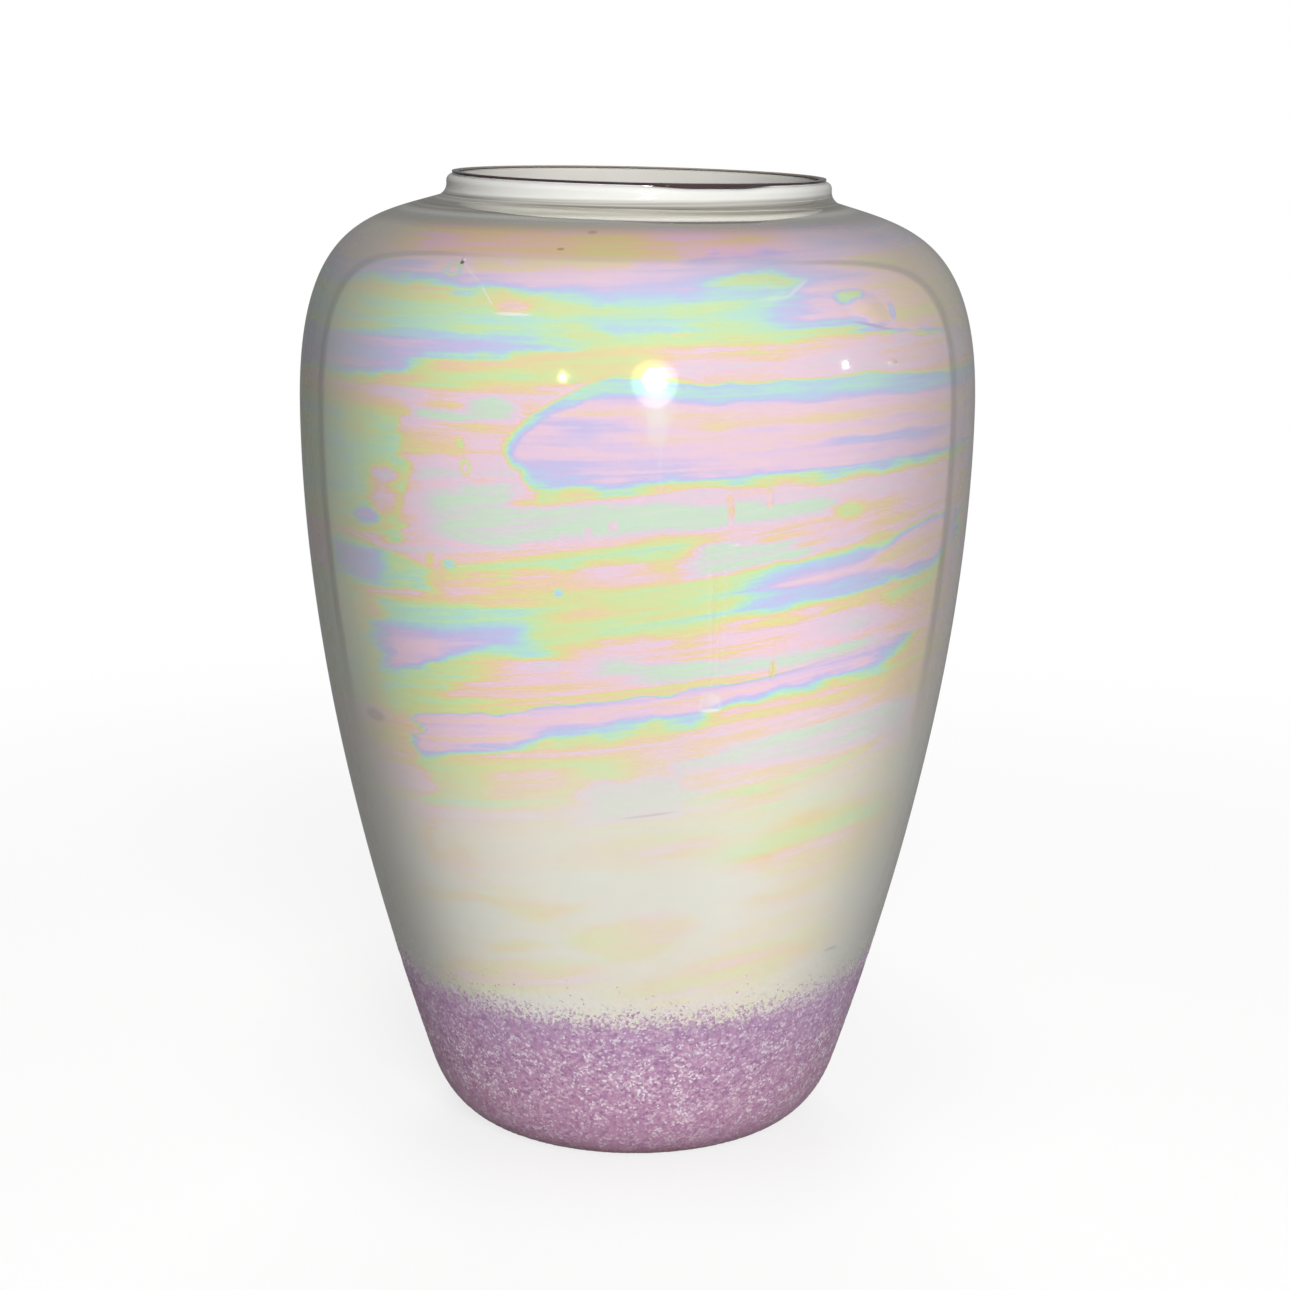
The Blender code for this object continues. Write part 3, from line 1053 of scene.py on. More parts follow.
    @staticmethod
    def lower_wall() -> list[Swath]:
        """Paler swipes below the sharp step.

        Returns:
            The swipes, each laid over those before it.
        """
        step = Edge(147.0, 2.5, 1.0)
        return [
            Swath(0.08, step),
            Swath(0.93, step, Edge(139.3, 3.4, 7.5), (-41.0, 3.0), (52.0, 10.0)),
            Swath(0.30, Edge(131.5, 2.0, 4.0), Edge(117.0, 1.2), (-41.0, 3.0), (-2.0, 10.0)),
            Swath(0.13, Edge(128.0, 2.0), Edge(120.0, 1.5), (-28.0, 6.0), (-11.0, 6.0)),
            Swath(-0.18, Edge(128.5, 2.3, 2.0), Edge(112.5, 2.7, 2.0), (6.0, 4.0), (58.0, 10.0)),
            Swath(0.07, Edge(126.0, 0.8), Edge(113.5, 2.2, 2.0), (8.0, 1.8), (56.0, 12.0)),
            Swath(0.29, Edge(115.4, 3.0, 2.0), Edge(112.8, 3.0, 1.6), (8.0, 4.0), (48.0, 12.0)),
            Swath(-0.16, Edge(124.0, 1.2), Edge(112.0, 2.0), (-9.0, 6.0), (8.0, 2.0)),
            Swath(0.20, Edge(111.5, 2.9, 2.0), None, (-20.0, 12.0), (60.0, 12.0)),
            Swath(0.15, Edge(104.0, 0.0, 12.0)),
        ]

    @staticmethod
    def spots() -> list[Spot]:
        """Drips, drops and bubble rings.

        Returns:
            The spots, by the film's thickness on them.
        """
        return [
            Spot(0.14, 14.4, 199.0, 0.6, 5.0),
            Spot(0.08, 20.8, 200.8, 0.5, 2.6),
            Spot(0.20, 22.7, 154.2, 0.6, 2.6),
            Spot(0.00, -11.5, 190.0, 0.7, 1.5),
            Spot(0.00, -7.5, 192.3, 0.7, 1.7),
            Spot(0.00, -3.5, 194.3, 0.7, 1.4),
            Spot(0.47, -12.2, 176.2, 0.8, 1.2),
            Spot(0.20, -44.0, 199.0, 4.4, 9.0),
            Spot(0.04, -44.0, 197.0, 2.8, 5.0),
            Spot(-0.10, -44.0, 203.6, 3.0, 1.8),
            Spot(0.76, -49.0, 191.0, 3.4, 2.4),
            Spot(-0.30, -23.0, 223.5, 4.5, 2.6),
            Spot(-0.28, -31.0, 221.5, 6.0, 1.6),
            Spot(0.34, -28.2, 214.5, 0.8, 1.6),
            Spot(0.34, -27.2, 208.0, 0.9, 1.8, True),
            Spot(0.16, -34.6, 182.0, 0.7, 2.5),
            Spot(0.45, -30.8, 181.6, 1.3, 1.2),
            Spot(0.20, 35.5, 196.0, 2.6, 2.6),
            Spot(0.28, 42.5, 187.0, 4.0, 2.8),
            Spot(0.14, 3.5, 137.0, 3.6, 2.0),
            Spot(0.36, 37.6, 251.6, 3.2, 1.8),
            Spot(0.58, 46.4, 246.6, 0.9, 2.4),
            Spot(1.08, 41.6, 248.2, 4.6, 2.6, lean=-27.0),
            Spot(0.34, -33.5, 258.5, 1.4, 1.4, True),
            Spot(0.40, 21.0, 255.2, 7.5, 3.2),
            Spot(0.14, -20.5, 249.6, 3.4, 1.5),
        ]

    @staticmethod
    def wear_and_shade_marks() -> list[Spot]:
        """Strokes of wear, and painted shade in the pit and under the right blister, by how dark they are.

        Returns:
            The strokes.
        """
        return [
            Spot(0.18, 2.5, 114.0, 4.8, 0.35, lean=12.0),
            Spot(0.26, 48.0, 64.6, 2.2, 0.5),
            Spot(0.18, -53.0, 133.5, 3.0, 1.8),
            # Painted shade in the pit.
            Spot(0.90, -32.5, 260.0, 0.45, 0.50),
            Spot(0.45, -14.5, 264.0, 0.70, 0.30),
            Spot(0.30, -9.5, 268.0, 1.00, 0.40),
            # Painted shade under the right blister.
            Spot(0.20, 41.5, 244.0, 4.2, 0.4, lean=-20.0),
            Spot(0.07, 24.0, 152.8, 16.0, 0.25, lean=14.0),
            Spot(0.07, 22.0, 165.8, 9.0, 0.25, lean=7.0),
        ]

    @staticmethod
    def pale_marks_and_highlights() -> list[Spot]:
        """Pale outlines of the tear, its two trails and the blisters, partly painted highlight, and a
        painted trail of light below the flash's reflection, by how bright they are.

        Returns:
            The marks.
        """
        return [
            # Painted highlight on the bead at the foot of the tear.
            Spot(0.95, 12.35, 143.9, 1.7, 0.55),
            Spot(0.35, 12.4, 146.6, 1.3, 2.2),
            Spot(0.45, 10.85, 146.4, 0.22, 2.4, lean=-6.0),
            Spot(0.55, 13.85, 146.4, 0.22, 2.4, lean=3.0),
            Spot(0.32, 11.7, 170.0, 0.12, 22.0, lean=1.6),
            Spot(0.28, 14.0, 168.0, 0.12, 19.0, lean=0.6),
            Spot(0.85, -20.3, 247.9, 3.2, 0.45),
            Spot(0.50, -29.8, 257.6, 3.4, 0.25, lean=-45.0),
            Spot(0.45, -25.6, 252.4, 3.0, 0.25, lean=-60.0),
            Spot(0.55, 27.6, 254.4, 3.4, 0.40, lean=42.0),
            Spot(0.45, 23.0, 252.2, 2.4, 0.40, lean=5.0),
            Spot(0.60, 44.5, 233.6, 1.8, 0.35, lean=-15.0),
            Spot(0.60, 15.5, 189.0, 0.7, 0.45, lean=20.0),
            # Painted trail of light below the flash's reflection.
            Spot(0.30, 3.1, 225.5, 2.9, 5.0),
            Spot(0.34, 3.1, 220.5, 1.6, 5.5),
            Spot(0.30, 3.5, 209.5, 0.16, 8.0),
        ]

    def thickness(self, at: AxisPlace) -> tuple[Signal, Signal]:
        """Thickness of the film.

        Args:
            at: Place on the wall.

        Returns:
            The thickness, in turns of its colours, and the height along the swipes.
        """
        wiring = at.wiring
        straight = at.height - at.swing * (at.height.eased(*self.slant) + self.least_slant)
        broad, bulge, streak, brush = (
            kind.level(at, straight) for kind in (self.broad, self.bulge, self.streak, self.brush))
        uneven = (at.height + broad * self.broad.edges + bulge * self.bulge.edges
                  + streak * self.streak.edges)
        frayed = at.turn + bulge * self.bulge.ends + streak * self.streak.ends
        rounded = at.turn + bulge * self.oval_bulge
        chart = wiring.vector(at.turn + bulge, at.height + bulge * self.spot_bulge, 0.0)

        rising = at.height.eased(*self.back_film) + streak * self.back_streaks + self.back_start
        film = broad * self.broad_film + abs(at.turn).eased(*self.back) * rising
        for swath in (*self.shoulder(), *self.left_patches(), *self.waist(), *self.lower_wall()):
            film = wiring.laid(film, swath.film, swath.cover(uneven, at.swing, frayed))
        for swath in self.long_oval():
            film = wiring.laid(film, swath.film, swath.cover(uneven, at.swing, rounded))
        for spot in self.spots():
            film = wiring.laid(film, spot.level, spot.cover(chart))
        film = (film + broad * self.broad.film + bulge * self.bulge.film
                + streak * self.streak.film + brush * self.brush.film)
        return film, straight + broad * self.broad.edges + bulge * self.wash_bulge

    def tint(self, at: AxisPlace, film: Signal) -> Signal:
        """Colour of the film.

        Args:
            at: Place on the wall.
            film: Thickness of the film, in turns of its colours.

        Returns:
            The colour.
        """
        speckled = film + at.wiring.noise(at.place, self.speckle_waves, 1.0) * self.speckle
        share = (speckled - self.thinnest) / (self.thickest - self.thinnest)
        return at.wiring.node("ShaderNodeValToRGB", {"stops": self.colours()}, {"Fac": share})

    def blush(self, at: AxisPlace) -> Signal:
        """Share of the film's colour that the opal takes on at the front of the shoulder.

        Args:
            at: Place on the wall.

        Returns:
            The share.
        """
        band = at.height.eased(*self.blush_bottom, at.height.eased(*self.blush_top))
        return at.turn.eased(*self.blush_left, at.turn.eased(*self.blush_right, band))

    def material(self) -> bpy.types.Material:
        """Wire the finish: opal glass under a metal film, both with painted shade and dark reflection under
        the collar and with strokes of wear and painted shade at a pit and a blister, and the film with pale
        marks and painted highlights.

        Returns:
            The material.
        """
        material, wiring = new_material(Slot.PEARL_LUSTRE.value, self.opal)
        at = AxisPlace(wiring)
        film, along = self.thickness(at)
        tint = self.tint(at, film)
        chart = wiring.vector(at.turn, at.height, 0.0)
        worn_and_shaded = Spot.total(chart, self.wear_and_shade_marks())
        collar_shaded = self.collar_shade.cover(at)
        grains = self.frit.cover(at)

        sheen = wiring.mix(self.depth.share(at, along), self.neutral, tint)
        # Strokes of wear and painted shade, on the film.
        sheen = wiring.mix(worn_and_shaded, sheen, self.wear_and_shade)
        # Pale marks and painted highlights, on the film.
        sheen = wiring.mix(Spot.total(chart, self.pale_marks_and_highlights()), sheen, self.pale_mark_and_highlight)
        # Painted shade and dark reflection under the collar, on the film.
        sheen = wiring.mix(collar_shaded * self.collar_shade.on_film, sheen, self.collar_shade.colour)
        opal = wiring.mix(at.height.eased(*self.lip_zone), self.opal, self.lip_white)
        opal = wiring.mix(self.blush(at), opal, tint)
        # Painted shade under the collar, on the opal too.
        opal = wiring.mix(collar_shaded, opal, self.collar_shade.colour)
        # Strokes of wear and painted shade, on the opal too.
        opal = wiring.mix(worn_and_shaded, opal, self.wear_and_shade)
        base = wiring.mix(grains, opal, self.frit.colour(at))
        glass = wiring.node("ShaderNodeBsdfPrincipled", inputs={
            "Base Color": base, "Roughness": self.glass_roughness, "IOR": GLASS_IOR})
        metal = wiring.node("ShaderNodeBsdfPrincipled", inputs={
            "Base Color": sheen, "Roughness": self.film_roughness, "Metallic": 1.0})
        bare = 1.0 - grains * (1.0 - self.film_under_frit)
        weight = bare * at.height.eased(*self.film_top) * self.film_weight
        shader = wiring.node("ShaderNodeMixShader", inputs={0: weight, 1: glass, 2: metal})
        wiring.node("ShaderNodeOutputMaterial", inputs={"Surface": shader})
        return material


@dataclass(frozen=True)
class LilacFrit:
    """Solid coat of crushed lilac glass, half melted, so it is grainy and glossy at once."""

    frit: FritGrain = FritGrain()
    under: Colour = (0.60, 0.58, 0.52)
    fades: bool = True
    bump: float = 0.22
    bump_height: float = 0.0002
    crown: Span = (0.0, 0.25)
    # Painted shade in the gaps between grains.
    gap: Rise = (0.10, 0.0, 0.25)
    roughness: float = 0.34
    rough_waves: float = 700.0
    rough_swing: float = 0.12

    def material(self) -> bpy.types.Material:
        """Wire the finish.

        Returns:
            The material.
        """
        material, wiring = new_material(Slot.LILAC_FRIT.value, self.frit.lilac)
        at = AxisPlace(wiring)
        colour = self.frit.colour(at)
        if self.fades:
            colour = wiring.mix(self.frit.cover(at), self.under, colour)
        gaps = wiring.node("ShaderNodeTexVoronoi", {"feature": "DISTANCE_TO_EDGE"},
                           {"Vector": at.place, "Scale": 1.0 / self.frit.grain, "Randomness": 1.0},
                           "Distance")
        normal = wiring.node("ShaderNodeBump", inputs={
            "Strength": self.bump, "Distance": self.bump_height, "Height": gaps.eased(*self.crown)})
        # Painted shade in the gaps between grains, where the bump sinks.
        dark = wiring.mix(gaps.eased(*self.gap), colour, self.frit.plum)
        rough = wiring.noise(at.place, self.rough_waves, 2.0) * self.rough_swing + self.roughness
        shader = wiring.node("ShaderNodeBsdfPrincipled", inputs={
            "Base Color": dark, "Roughness": rough, "IOR": GLASS_IOR, "Normal": normal})
        wiring.node("ShaderNodeOutputMaterial", inputs={"Surface": shader})
        return material


@dataclass(frozen=True)
class PlainGlass:
    """A glossy glass of one colour, with faint cords and seeds in it."""

    slot: Slot
    colour: Colour
    shade: Colour
    roughness: float = 0.08
    cord_waves: float = 40.0
    cord_stretch: float = 3.0
    cords: Span = (-0.3, 0.6)
    seed_waves: float = 900.0
    seed_roughness: float = 0.03

    def corded(self, at: AxisPlace) -> Signal:
        """Colour with its cords.

        Args:
            at: Place in the glass.

        Returns:
            The colour.
        """
        stretched = at.wiring.vector(at.x, at.y, at.z * self.cord_stretch)
        cords = at.wiring.noise(stretched, self.cord_waves, 3.0)
        return at.wiring.mix(cords.eased(*self.cords), self.colour, self.shade)

    def material(self) -> bpy.types.Material:
        """Wire the finish.

        Returns:
            The material.
        """
        material, wiring = new_material(self.slot.value, self.colour)
        at = AxisPlace(wiring)
        rough = wiring.noise(at.place, self.seed_waves, 1.0) * self.seed_roughness + self.roughness
        shader = wiring.node("ShaderNodeBsdfPrincipled", inputs={
            "Base Color": self.corded(at), "Roughness": rough, "IOR": GLASS_IOR})
        wiring.node("ShaderNodeOutputMaterial", inputs={"Surface": shader})
        return material


@dataclass(frozen=True)
class AmethystThread(PlainGlass):
    """Dark amethyst glass that thins to brown along the back of the lip."""

    slot: Slot = Slot.DARK_AMETHYST
    colour: Colour = (0.022, 0.008, 0.018)
    shade: Colour = (0.060, 0.024, 0.030)
    cord_stretch: float = 1.0
    brown: Colour = (0.300, 0.250, 0.200)
    thin: Span = (-0.020, 0.035)

    def corded(self, at: AxisPlace) -> Signal:
        """Colour with its cords, brown where the thread is thin."""
        return at.wiring.mix(at.y.eased(*self.thin), super().corded(at), self.brown)


CLEAR_GLASS = PlainGlass(Slot.CLEAR_GLASS, (0.74, 0.72, 0.68), (0.69, 0.67, 0.62))
WHITE_OPAL = PlainGlass(Slot.WHITE_OPAL, (0.86, 0.86, 0.83), (0.80, 0.80, 0.76), 0.25)
GROUND_GLASS = PlainGlass(Slot.GROUND_GLASS, (0.72, 0.70, 0.70), (0.62, 0.59, 0.61), 0.35, 300.0)


class FlawKind(Enum):
    """Kinds of unevenness in the outer gather."""

    TEAR = "tear"
    BLISTER = "blister"
    PIMPLE = "pimple"


@dataclass(frozen=True)
class Flaw:
    """A small raised place on the wall.

    Its turn is degrees, its height, half sizes and rise above the wall millimetres, and its lean degrees
    upwards to the right. A tear is narrow above and swells at its lower end.
    """

    name: str
    kind: FlawKind
    turn: float
    height: float
    half_width: float
    half_length: float
    proud: float
    lean: float = 0.0
    neck: ClassVar[float] = 0.45
    swell_start: ClassVar[float] = -0.55
    swell_over: ClassVar[float] = 0.25

    def build(self, curve: OuterCurve, finish: bpy.types.Material) -> None:
        """Shape the flaw from a sphere with thin edges, lay it on the wall and add it.

        Args:
            curve: The wall.
            finish: The wall's own finish.
        """
        bm = bmesh.new()
        bmesh.ops.create_uvsphere(bm, u_segments=32, v_segments=16, radius=1.0)
        radius = curve.radius(self.height * MILLIMETRE)
        lean = Matrix.Rotation(math.radians(self.lean), 2)
        for vert in bm.verts:
            across, up, out = vert.co.x, vert.co.y, vert.co.z**3
            width = self.half_width
            if self.kind is FlawKind.TEAR:
                width *= self.neck + (1.0 - self.neck) * ease((self.swell_start - up) / self.swell_over)
            spot = lean @ Vector((across * width, up * self.half_length)) * MILLIMETRE
            turn = self.turn + math.degrees(spot.x / radius)
            vert.co = curve.on_wall(turn, self.height * MILLIMETRE + spot.y, out * self.proud * MILLIMETRE)
        bmesh.ops.recalc_face_normals(bm, faces=bm.faces)
        curve.tilt(bm)
        add_piece(self.name, bm, finish, Slot.PEARL_LUSTRE)


@dataclass(frozen=True)
class LustreCasing:
    """The outer gather with its iridescent film."""

    curve: OuterCurve
    frit_line: float = 0.0471
    skirt: float = 0.0040
    tuck: float = 0.0016
    thickness: float = 0.0010
    inner_stride: int = 3
    segments: int = 240
    wave: float = 0.00010
    wave_length: float = 0.030

    def profile(self) -> list[Vector]:
        """Closed section: a skirt behind the frit, up the outer face to the lip, and down the inner face.

        Returns:
            The points, as radius and height.
        """
        outer = self.curve.between(self.frit_line, self.curve.rim_height)
        inner = self.curve.inward(outer, lambda _: self.thickness)
        hidden = self.curve.between(self.frit_line - self.skirt, self.frit_line)
        return (self.curve.inward(hidden, lambda _: self.tuck) + outer
                + inner[-self.inner_stride::-self.inner_stride])

    def build(self, finish: bpy.types.Material) -> None:
        """Turn the body, ripple it a little as blown glass is, and add it with its flaws.

        Args:
            finish: The film's finish.
        """
        bm = turned(self.profile(), self.segments)
        for vert in bm.verts:
            ripple = noise.noise(vert.co / self.wave_length)
            vert.co += vert.co.normalized() * ripple * self.wave
        self.curve.tilt(bm)
        add_piece("lustre_body", bm, finish, Slot.PEARL_LUSTRE, "lustre_casing")
        for flaw in self.flaws():
            flaw.build(self.curve, finish)

    @staticmethod
    def flaws() -> list[Flaw]:
        """The tear, the blisters, the drips and the pit at the front.

        Returns:
            The flaws.
        """
        return [
            Flaw("glass_tear", FlawKind.TEAR, 12.7, 167.5, 2.3, 24.0, 0.04),
            Flaw("tear_bead", FlawKind.PIMPLE, 12.4, 146.4, 2.2, 2.8, 0.14),
            Flaw("right_blister", FlawKind.BLISTER, 41.0, 248.5, 8.0, 5.4, 0.30, -20.0),
            Flaw("left_blister", FlawKind.BLISTER, -20.5, 248.6, 4.2, 1.6, 0.12, 8.0),
            Flaw("shoulder_blister", FlawKind.BLISTER, 24.0, 255.5, 4.6, 2.4, 0.10, -10.0),
            Flaw("right_drip", FlawKind.PIMPLE, 14.5, 198.5, 1.0, 5.5, 0.18),
            Flaw("short_drip", FlawKind.PIMPLE, 21.0, 201.0, 0.9, 3.0, 0.18),
            Flaw("low_drip", FlawKind.PIMPLE, 22.5, 154.5, 0.8, 2.6, 0.18),
            Flaw("right_pimple", FlawKind.PIMPLE, 44.5, 234.5, 2.2, 0.9, 0.25),
            Flaw("left_pit_rim", FlawKind.PIMPLE, -32.5, 260.0, 0.7, 0.6, 0.25),
        ]


@dataclass(frozen=True)
class FritBase:
    """The coat of frit on the lower wall, the heel and the underside."""

    curve: OuterCurve
    top: float = 0.0474
    thickness: float = 0.0010
    ring_radius: float = 0.0350
    kick_rise: float = 0.0060
    hole_radius: float = 0.0143
    segments: int = 640
    pitch: float = 0.00060
    under_steps: int = 20
    ring_steps: int = 8
    inner_stride: int = 6
    under_stride: int = 5
    relief: float = 0.00014
    grain: float = 0.00105
    grain_steepness: float = 3.0
    top_fade: float = 0.0012
    ring_fade: float = 0.0015
    down_share: float = 0.6
    outside_steepness: float = 3.0

    def kick(self, radius: float) -> float:
        """Rise of the underside above the resting plane at a radius."""
        return self.kick_rise * max(0.0, 1.0 - (radius / self.ring_radius)**2)

    def profile(self) -> list[Vector]:
        """Closed section from the pontil's edge, out over the ring and up to the frit line.

        Returns:
            The points, as radius and height.
        """
        kick_width = self.ring_radius - self.hole_radius
        radii = [self.hole_radius + kick_width * step / self.under_steps
                 for step in range(self.under_steps + 1)]
        under = [Vector((radius, self.kick(radius))) for radius in radii]
        ring_width = self.curve.foot_radius - self.ring_radius
        ring = [Vector((self.ring_radius + ring_width * step / self.ring_steps, 0.0))
                for step in range(1, self.ring_steps)]
        wall = self.even(self.curve.between(0.0, self.top))
        inner = self.curve.inward(wall, lambda _: self.thickness)[::-self.inner_stride]
        back = [point + Vector((0.0, self.thickness)) for point in under[::-self.under_stride]]
        return under + ring + wall + inner + back

    def even(self, points: list[Vector]) -> list[Vector]:
        """Points at an even pitch along a run.

        Args:
            points: The run.

        Returns:
            Evenly spaced points from its first to its last.
        """
        reach = [0.0]
        for first, second in zip(points, points[1:]):
            reach.append(reach[-1] + (second - first).length)
        count = round(reach[-1] / self.pitch)
        result, index = [], 0
        for step in range(count + 1):
            want = reach[-1] * step / count
            while index < len(points) - 2 and reach[index + 1] < want:
                index += 1
            share = (want - reach[index]) / (reach[index + 1] - reach[index])
            result.append(points[index].lerp(points[index + 1], share))
        return result

    def relief_share(self, vert: bmesh.types.BMVert) -> float:
        """How much of the relief a vertex gets.

        Args:
            vert: The vertex.

        Returns:
            1 on the outer face, and 0 on the inner face, at the upper edge and on the resting ring.
        """
        outward = Vector((vert.co.x, vert.co.y, 0.0)).normalized() - Vector((0.0, 0.0, self.down_share))
        return (ease(vert.normal.dot(outward) * self.outside_steepness)
                * ease((self.top - vert.co.z) / self.top_fade) * ease(vert.co.z / self.ring_fade))

    def build(self, finish: bpy.types.Material) -> None:
        """Turn the coat, raise its grains and add it.

        Args:
            finish: The frit's finish.
        """
        bm = turned(self.profile(), self.segments)
        bm.normal_update()
        moves = []
        for vert in bm.verts:
            nearest, second = noise.voronoi(vert.co / self.grain)[0][:2]
            crown = min(1.0, (second - nearest) * self.grain_steepness) - 0.5
            moves.append(vert.normal * self.relief_share(vert) * self.relief * crown)
        for vert, move in zip(bm.verts, moves):
            vert.co += move
        self.curve.tilt(bm)
        add_piece("frit_coat", bm, finish, Slot.LILAC_FRIT, "lilac_frit_jacket")


@dataclass(frozen=True)
class StrayGrains:
    """Loose grains of frit that melted on above the coat, fewer and fewer with height."""

    curve: OuterCurve
    seed: int = 11
    count: int = 2700
    batch: int = 60
    low: float = 0.0470
    lift: float = 0.0040
    spread: float = 0.0030
    reach: float = 0.0150
    size: Span = (0.00012, 0.00032)
    narrowing: Span = (0.6, 1.0)
    proud: float = 0.00008

    def build(self, finish: bpy.types.Material) -> None:
        """Scatter the grains, flattened and half sunk into the wall, and add them as one piece.

        Args:
            finish: The grains' finish.
        """
        draw = random.Random(self.seed)
        whole = bmesh.new()
        for _ in range(self.count // self.batch):
            few = bpy.data.meshes.new("few_grains")
            bm = self.scatter(draw)
            bm.to_mesh(few)
            bm.free()
            whole.from_mesh(few)
            bpy.data.meshes.remove(few)
        add_piece("stray_grains", whole, finish, Slot.LILAC_FRIT)

    def scatter(self, draw: random.Random) -> bmesh.types.BMesh:
        """Make one batch of grains.

        Args:
            draw: The seeded source of places and sizes.

        Returns:
            Their mesh.
        """
        bm = bmesh.new()
        for _ in range(self.batch):
            turn = draw.uniform(-180.0, 180.0)
            rise = min(self.reach, draw.expovariate(1.0 / self.spread))
            height = self.low + self.lift * (1.0 - math.cos(math.radians(turn))) + rise
            middle = self.curve.on_wall(turn, height)
            outward = (self.curve.on_wall(turn, height, MILLIMETRE) - middle).normalized()
            size = draw.uniform(*self.size)
            flat = Matrix.Diagonal((size, size * draw.uniform(*self.narrowing), self.proud, 1.0))
            place = (Matrix.Translation(middle) @ outward.to_track_quat("Z", "Y").to_matrix().to_4x4()
                     @ Matrix.Rotation(draw.uniform(0.0, math.tau), 4, "Z") @ flat)
            bmesh.ops.create_icosphere(bm, subdivisions=1, radius=1.0, matrix=place)
        return bm


@dataclass(frozen=True)
class LipThread:
    """The thread of dark glass on the lip, with its lapped end at the front right."""

    curve: OuterCurve
    inner_radius: float = 0.0516
    seat: float = 0.2796
    seat_gap: float = 0.0003
    under: float = 0.0022
    thickness: float = 0.0006
    edge: float = math.radians(6.0)
    edge_steps: int = 4
    soften: float = 0.0002
    lap_start: float = math.radians(-3.0)
    lap_full: float = math.radians(14.0)
    lap_fall: float = math.radians(30.0)
    lap_end: float = math.radians(45.0)
    lap_reach: float = math.radians(46.0)
    segments: int = 352

    def centre(self) -> Vector:
        """Centre of the rolled lip, as radius and height."""
        return Vector((self.curve.collar_radius - self.curve.lip_round, self.curve.lip_height))

    def round_lip(self, radius: float, angle: float) -> Vector:
        """Point about the lip's centre, at a radius and at an angle outwards from the top."""
        return self.centre() + radius * Vector((math.sin(angle), math.cos(angle)))

    def profile(self) -> list[Vector]:
        """Closed section: flat on the inner glass, its outer edge turned over the rolled lip.

        Returns:
            The points, as radius and height.
        """
        angles = [self.edge * step / self.edge_steps for step in range(self.edge_steps + 1)]
        top = self.curve.rim_height
        return ([Vector((self.inner_radius, self.seat)),
                 Vector((self.centre().x - self.seat_gap, self.seat))]
                + [self.round_lip(self.under, angle) for angle in angles]
                + [self.round_lip(self.under + self.thickness, angle) for angle in reversed(angles)]
                + [Vector((self.inner_radius + self.soften, top)),
                   Vector((self.inner_radius, top - self.soften))])

    def lap(self, turn: float) -> float:
        """How far the thread's end is lapped at a turn from the front, from 0 to 1."""
        rise = ease((turn - self.lap_start) / (self.lap_full - self.lap_start))
        return rise * ease((self.lap_end - turn) / (self.lap_end - self.lap_fall))

    def build(self, finish: bpy.types.Material) -> None:
        """Turn the thread, draw its lapped end down over the lip and add it.

        Args:
            finish: The thread's finish.
        """
        bm = turned(self.profile(), self.segments)
        centre = self.centre()
        for vert in bm.verts:
            radius = math.hypot(vert.co.x, vert.co.y)
            out, up = radius - centre.x, vert.co.z - centre.y
            share = self.lap(math.atan2(vert.co.x, -vert.co.y))
            if out > MERGE_DISTANCE and share > 0.0:
                angle = math.atan2(out, up) * (1.0 + (self.lap_reach / self.edge - 1.0) * share)
                lapped = self.round_lip(math.hypot(out, up), angle)
                grown = lapped.x / radius
                vert.co = (vert.co.x * grown, vert.co.y * grown, lapped.y)
        self.curve.tilt(bm)
        add_piece("lip_thread", bm, finish, Slot.DARK_AMETHYST, "lip_wrap")


@dataclass(frozen=True)
class InnerLayers:
    """The clear inside layer, which shows in the mouth, and the hidden opal layer."""

    curve: OuterCurve
    wall_at_foot: float = 0.0090
    wall_at_lip: float = 0.0035
    skin: float = 0.0012
    low: float = 0.0120
    top: float = 0.2793
    soften: float = 0.0004
    floor: float = 0.0090
    floor_dome: float = 0.0060
    floor_curl: float = 0.0040
    curl_power: int = 6
    floor_shares: tuple[float, ...] = (0.0, 0.2, 0.4, 0.6, 0.75, 0.88, 0.96)
    wall_stride: int = 2
    back_stride: int = 4
    segments: int = 160

    def depth(self, height: float) -> float:
        """Thickness of all the glass at a height."""
        return self.wall_at_foot + (self.wall_at_lip - self.wall_at_foot) * height / self.top

    def floor_height(self, share: float) -> float:
        """Height of the floor at a share of its radius: domed in the middle and curled up at the wall."""
        dome = self.floor_dome * (1.0 - share * share)
        return self.floor + dome + self.floor_curl * share**self.curl_power

    def profile(self) -> list[Vector]:
        """Section of the inside layer, from the middle of the floor to the lip and back.

        Returns:
            The points, as radius and height.
        """
        outer = self.curve.between(self.low, self.curve.lip_height)[::self.wall_stride]
        inside = self.curve.inward(outer, self.depth)
        radius = inside[-1].x
        rim = [Vector((radius, self.top - self.soften)), Vector((radius + self.soften, self.top)),
               Vector((radius + self.skin, self.top))]
        back = [point + Vector((self.skin, 0.0)) for point in inside[::-self.back_stride]]
        floor = [Vector((inside[0].x * share, self.floor_height(share))) for share in self.floor_shares]
        under = [point - Vector((0.0, self.skin)) for point in floor[::-1]]
        return floor + inside + rim + back + under

    def build(self, inside: bpy.types.Material, opal: bpy.types.Material) -> None:
        """Turn the inside layer and dress the opal layer's CAD node.

        Args:
            inside: Finish of the inside layer.
            opal: Finish of the opal layer.
        """
        bm = turned(self.profile(), self.segments, closed=False)
        self.curve.tilt(bm)
        add_piece("inner_glass", bm, inside, Slot.CLEAR_GLASS, "inner_clear_layer")
        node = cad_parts["opal_layer"]
        node.data.materials.clear()
        node.data.materials.append(opal)
        LOG.info("opal_layer: CAD node dressed")


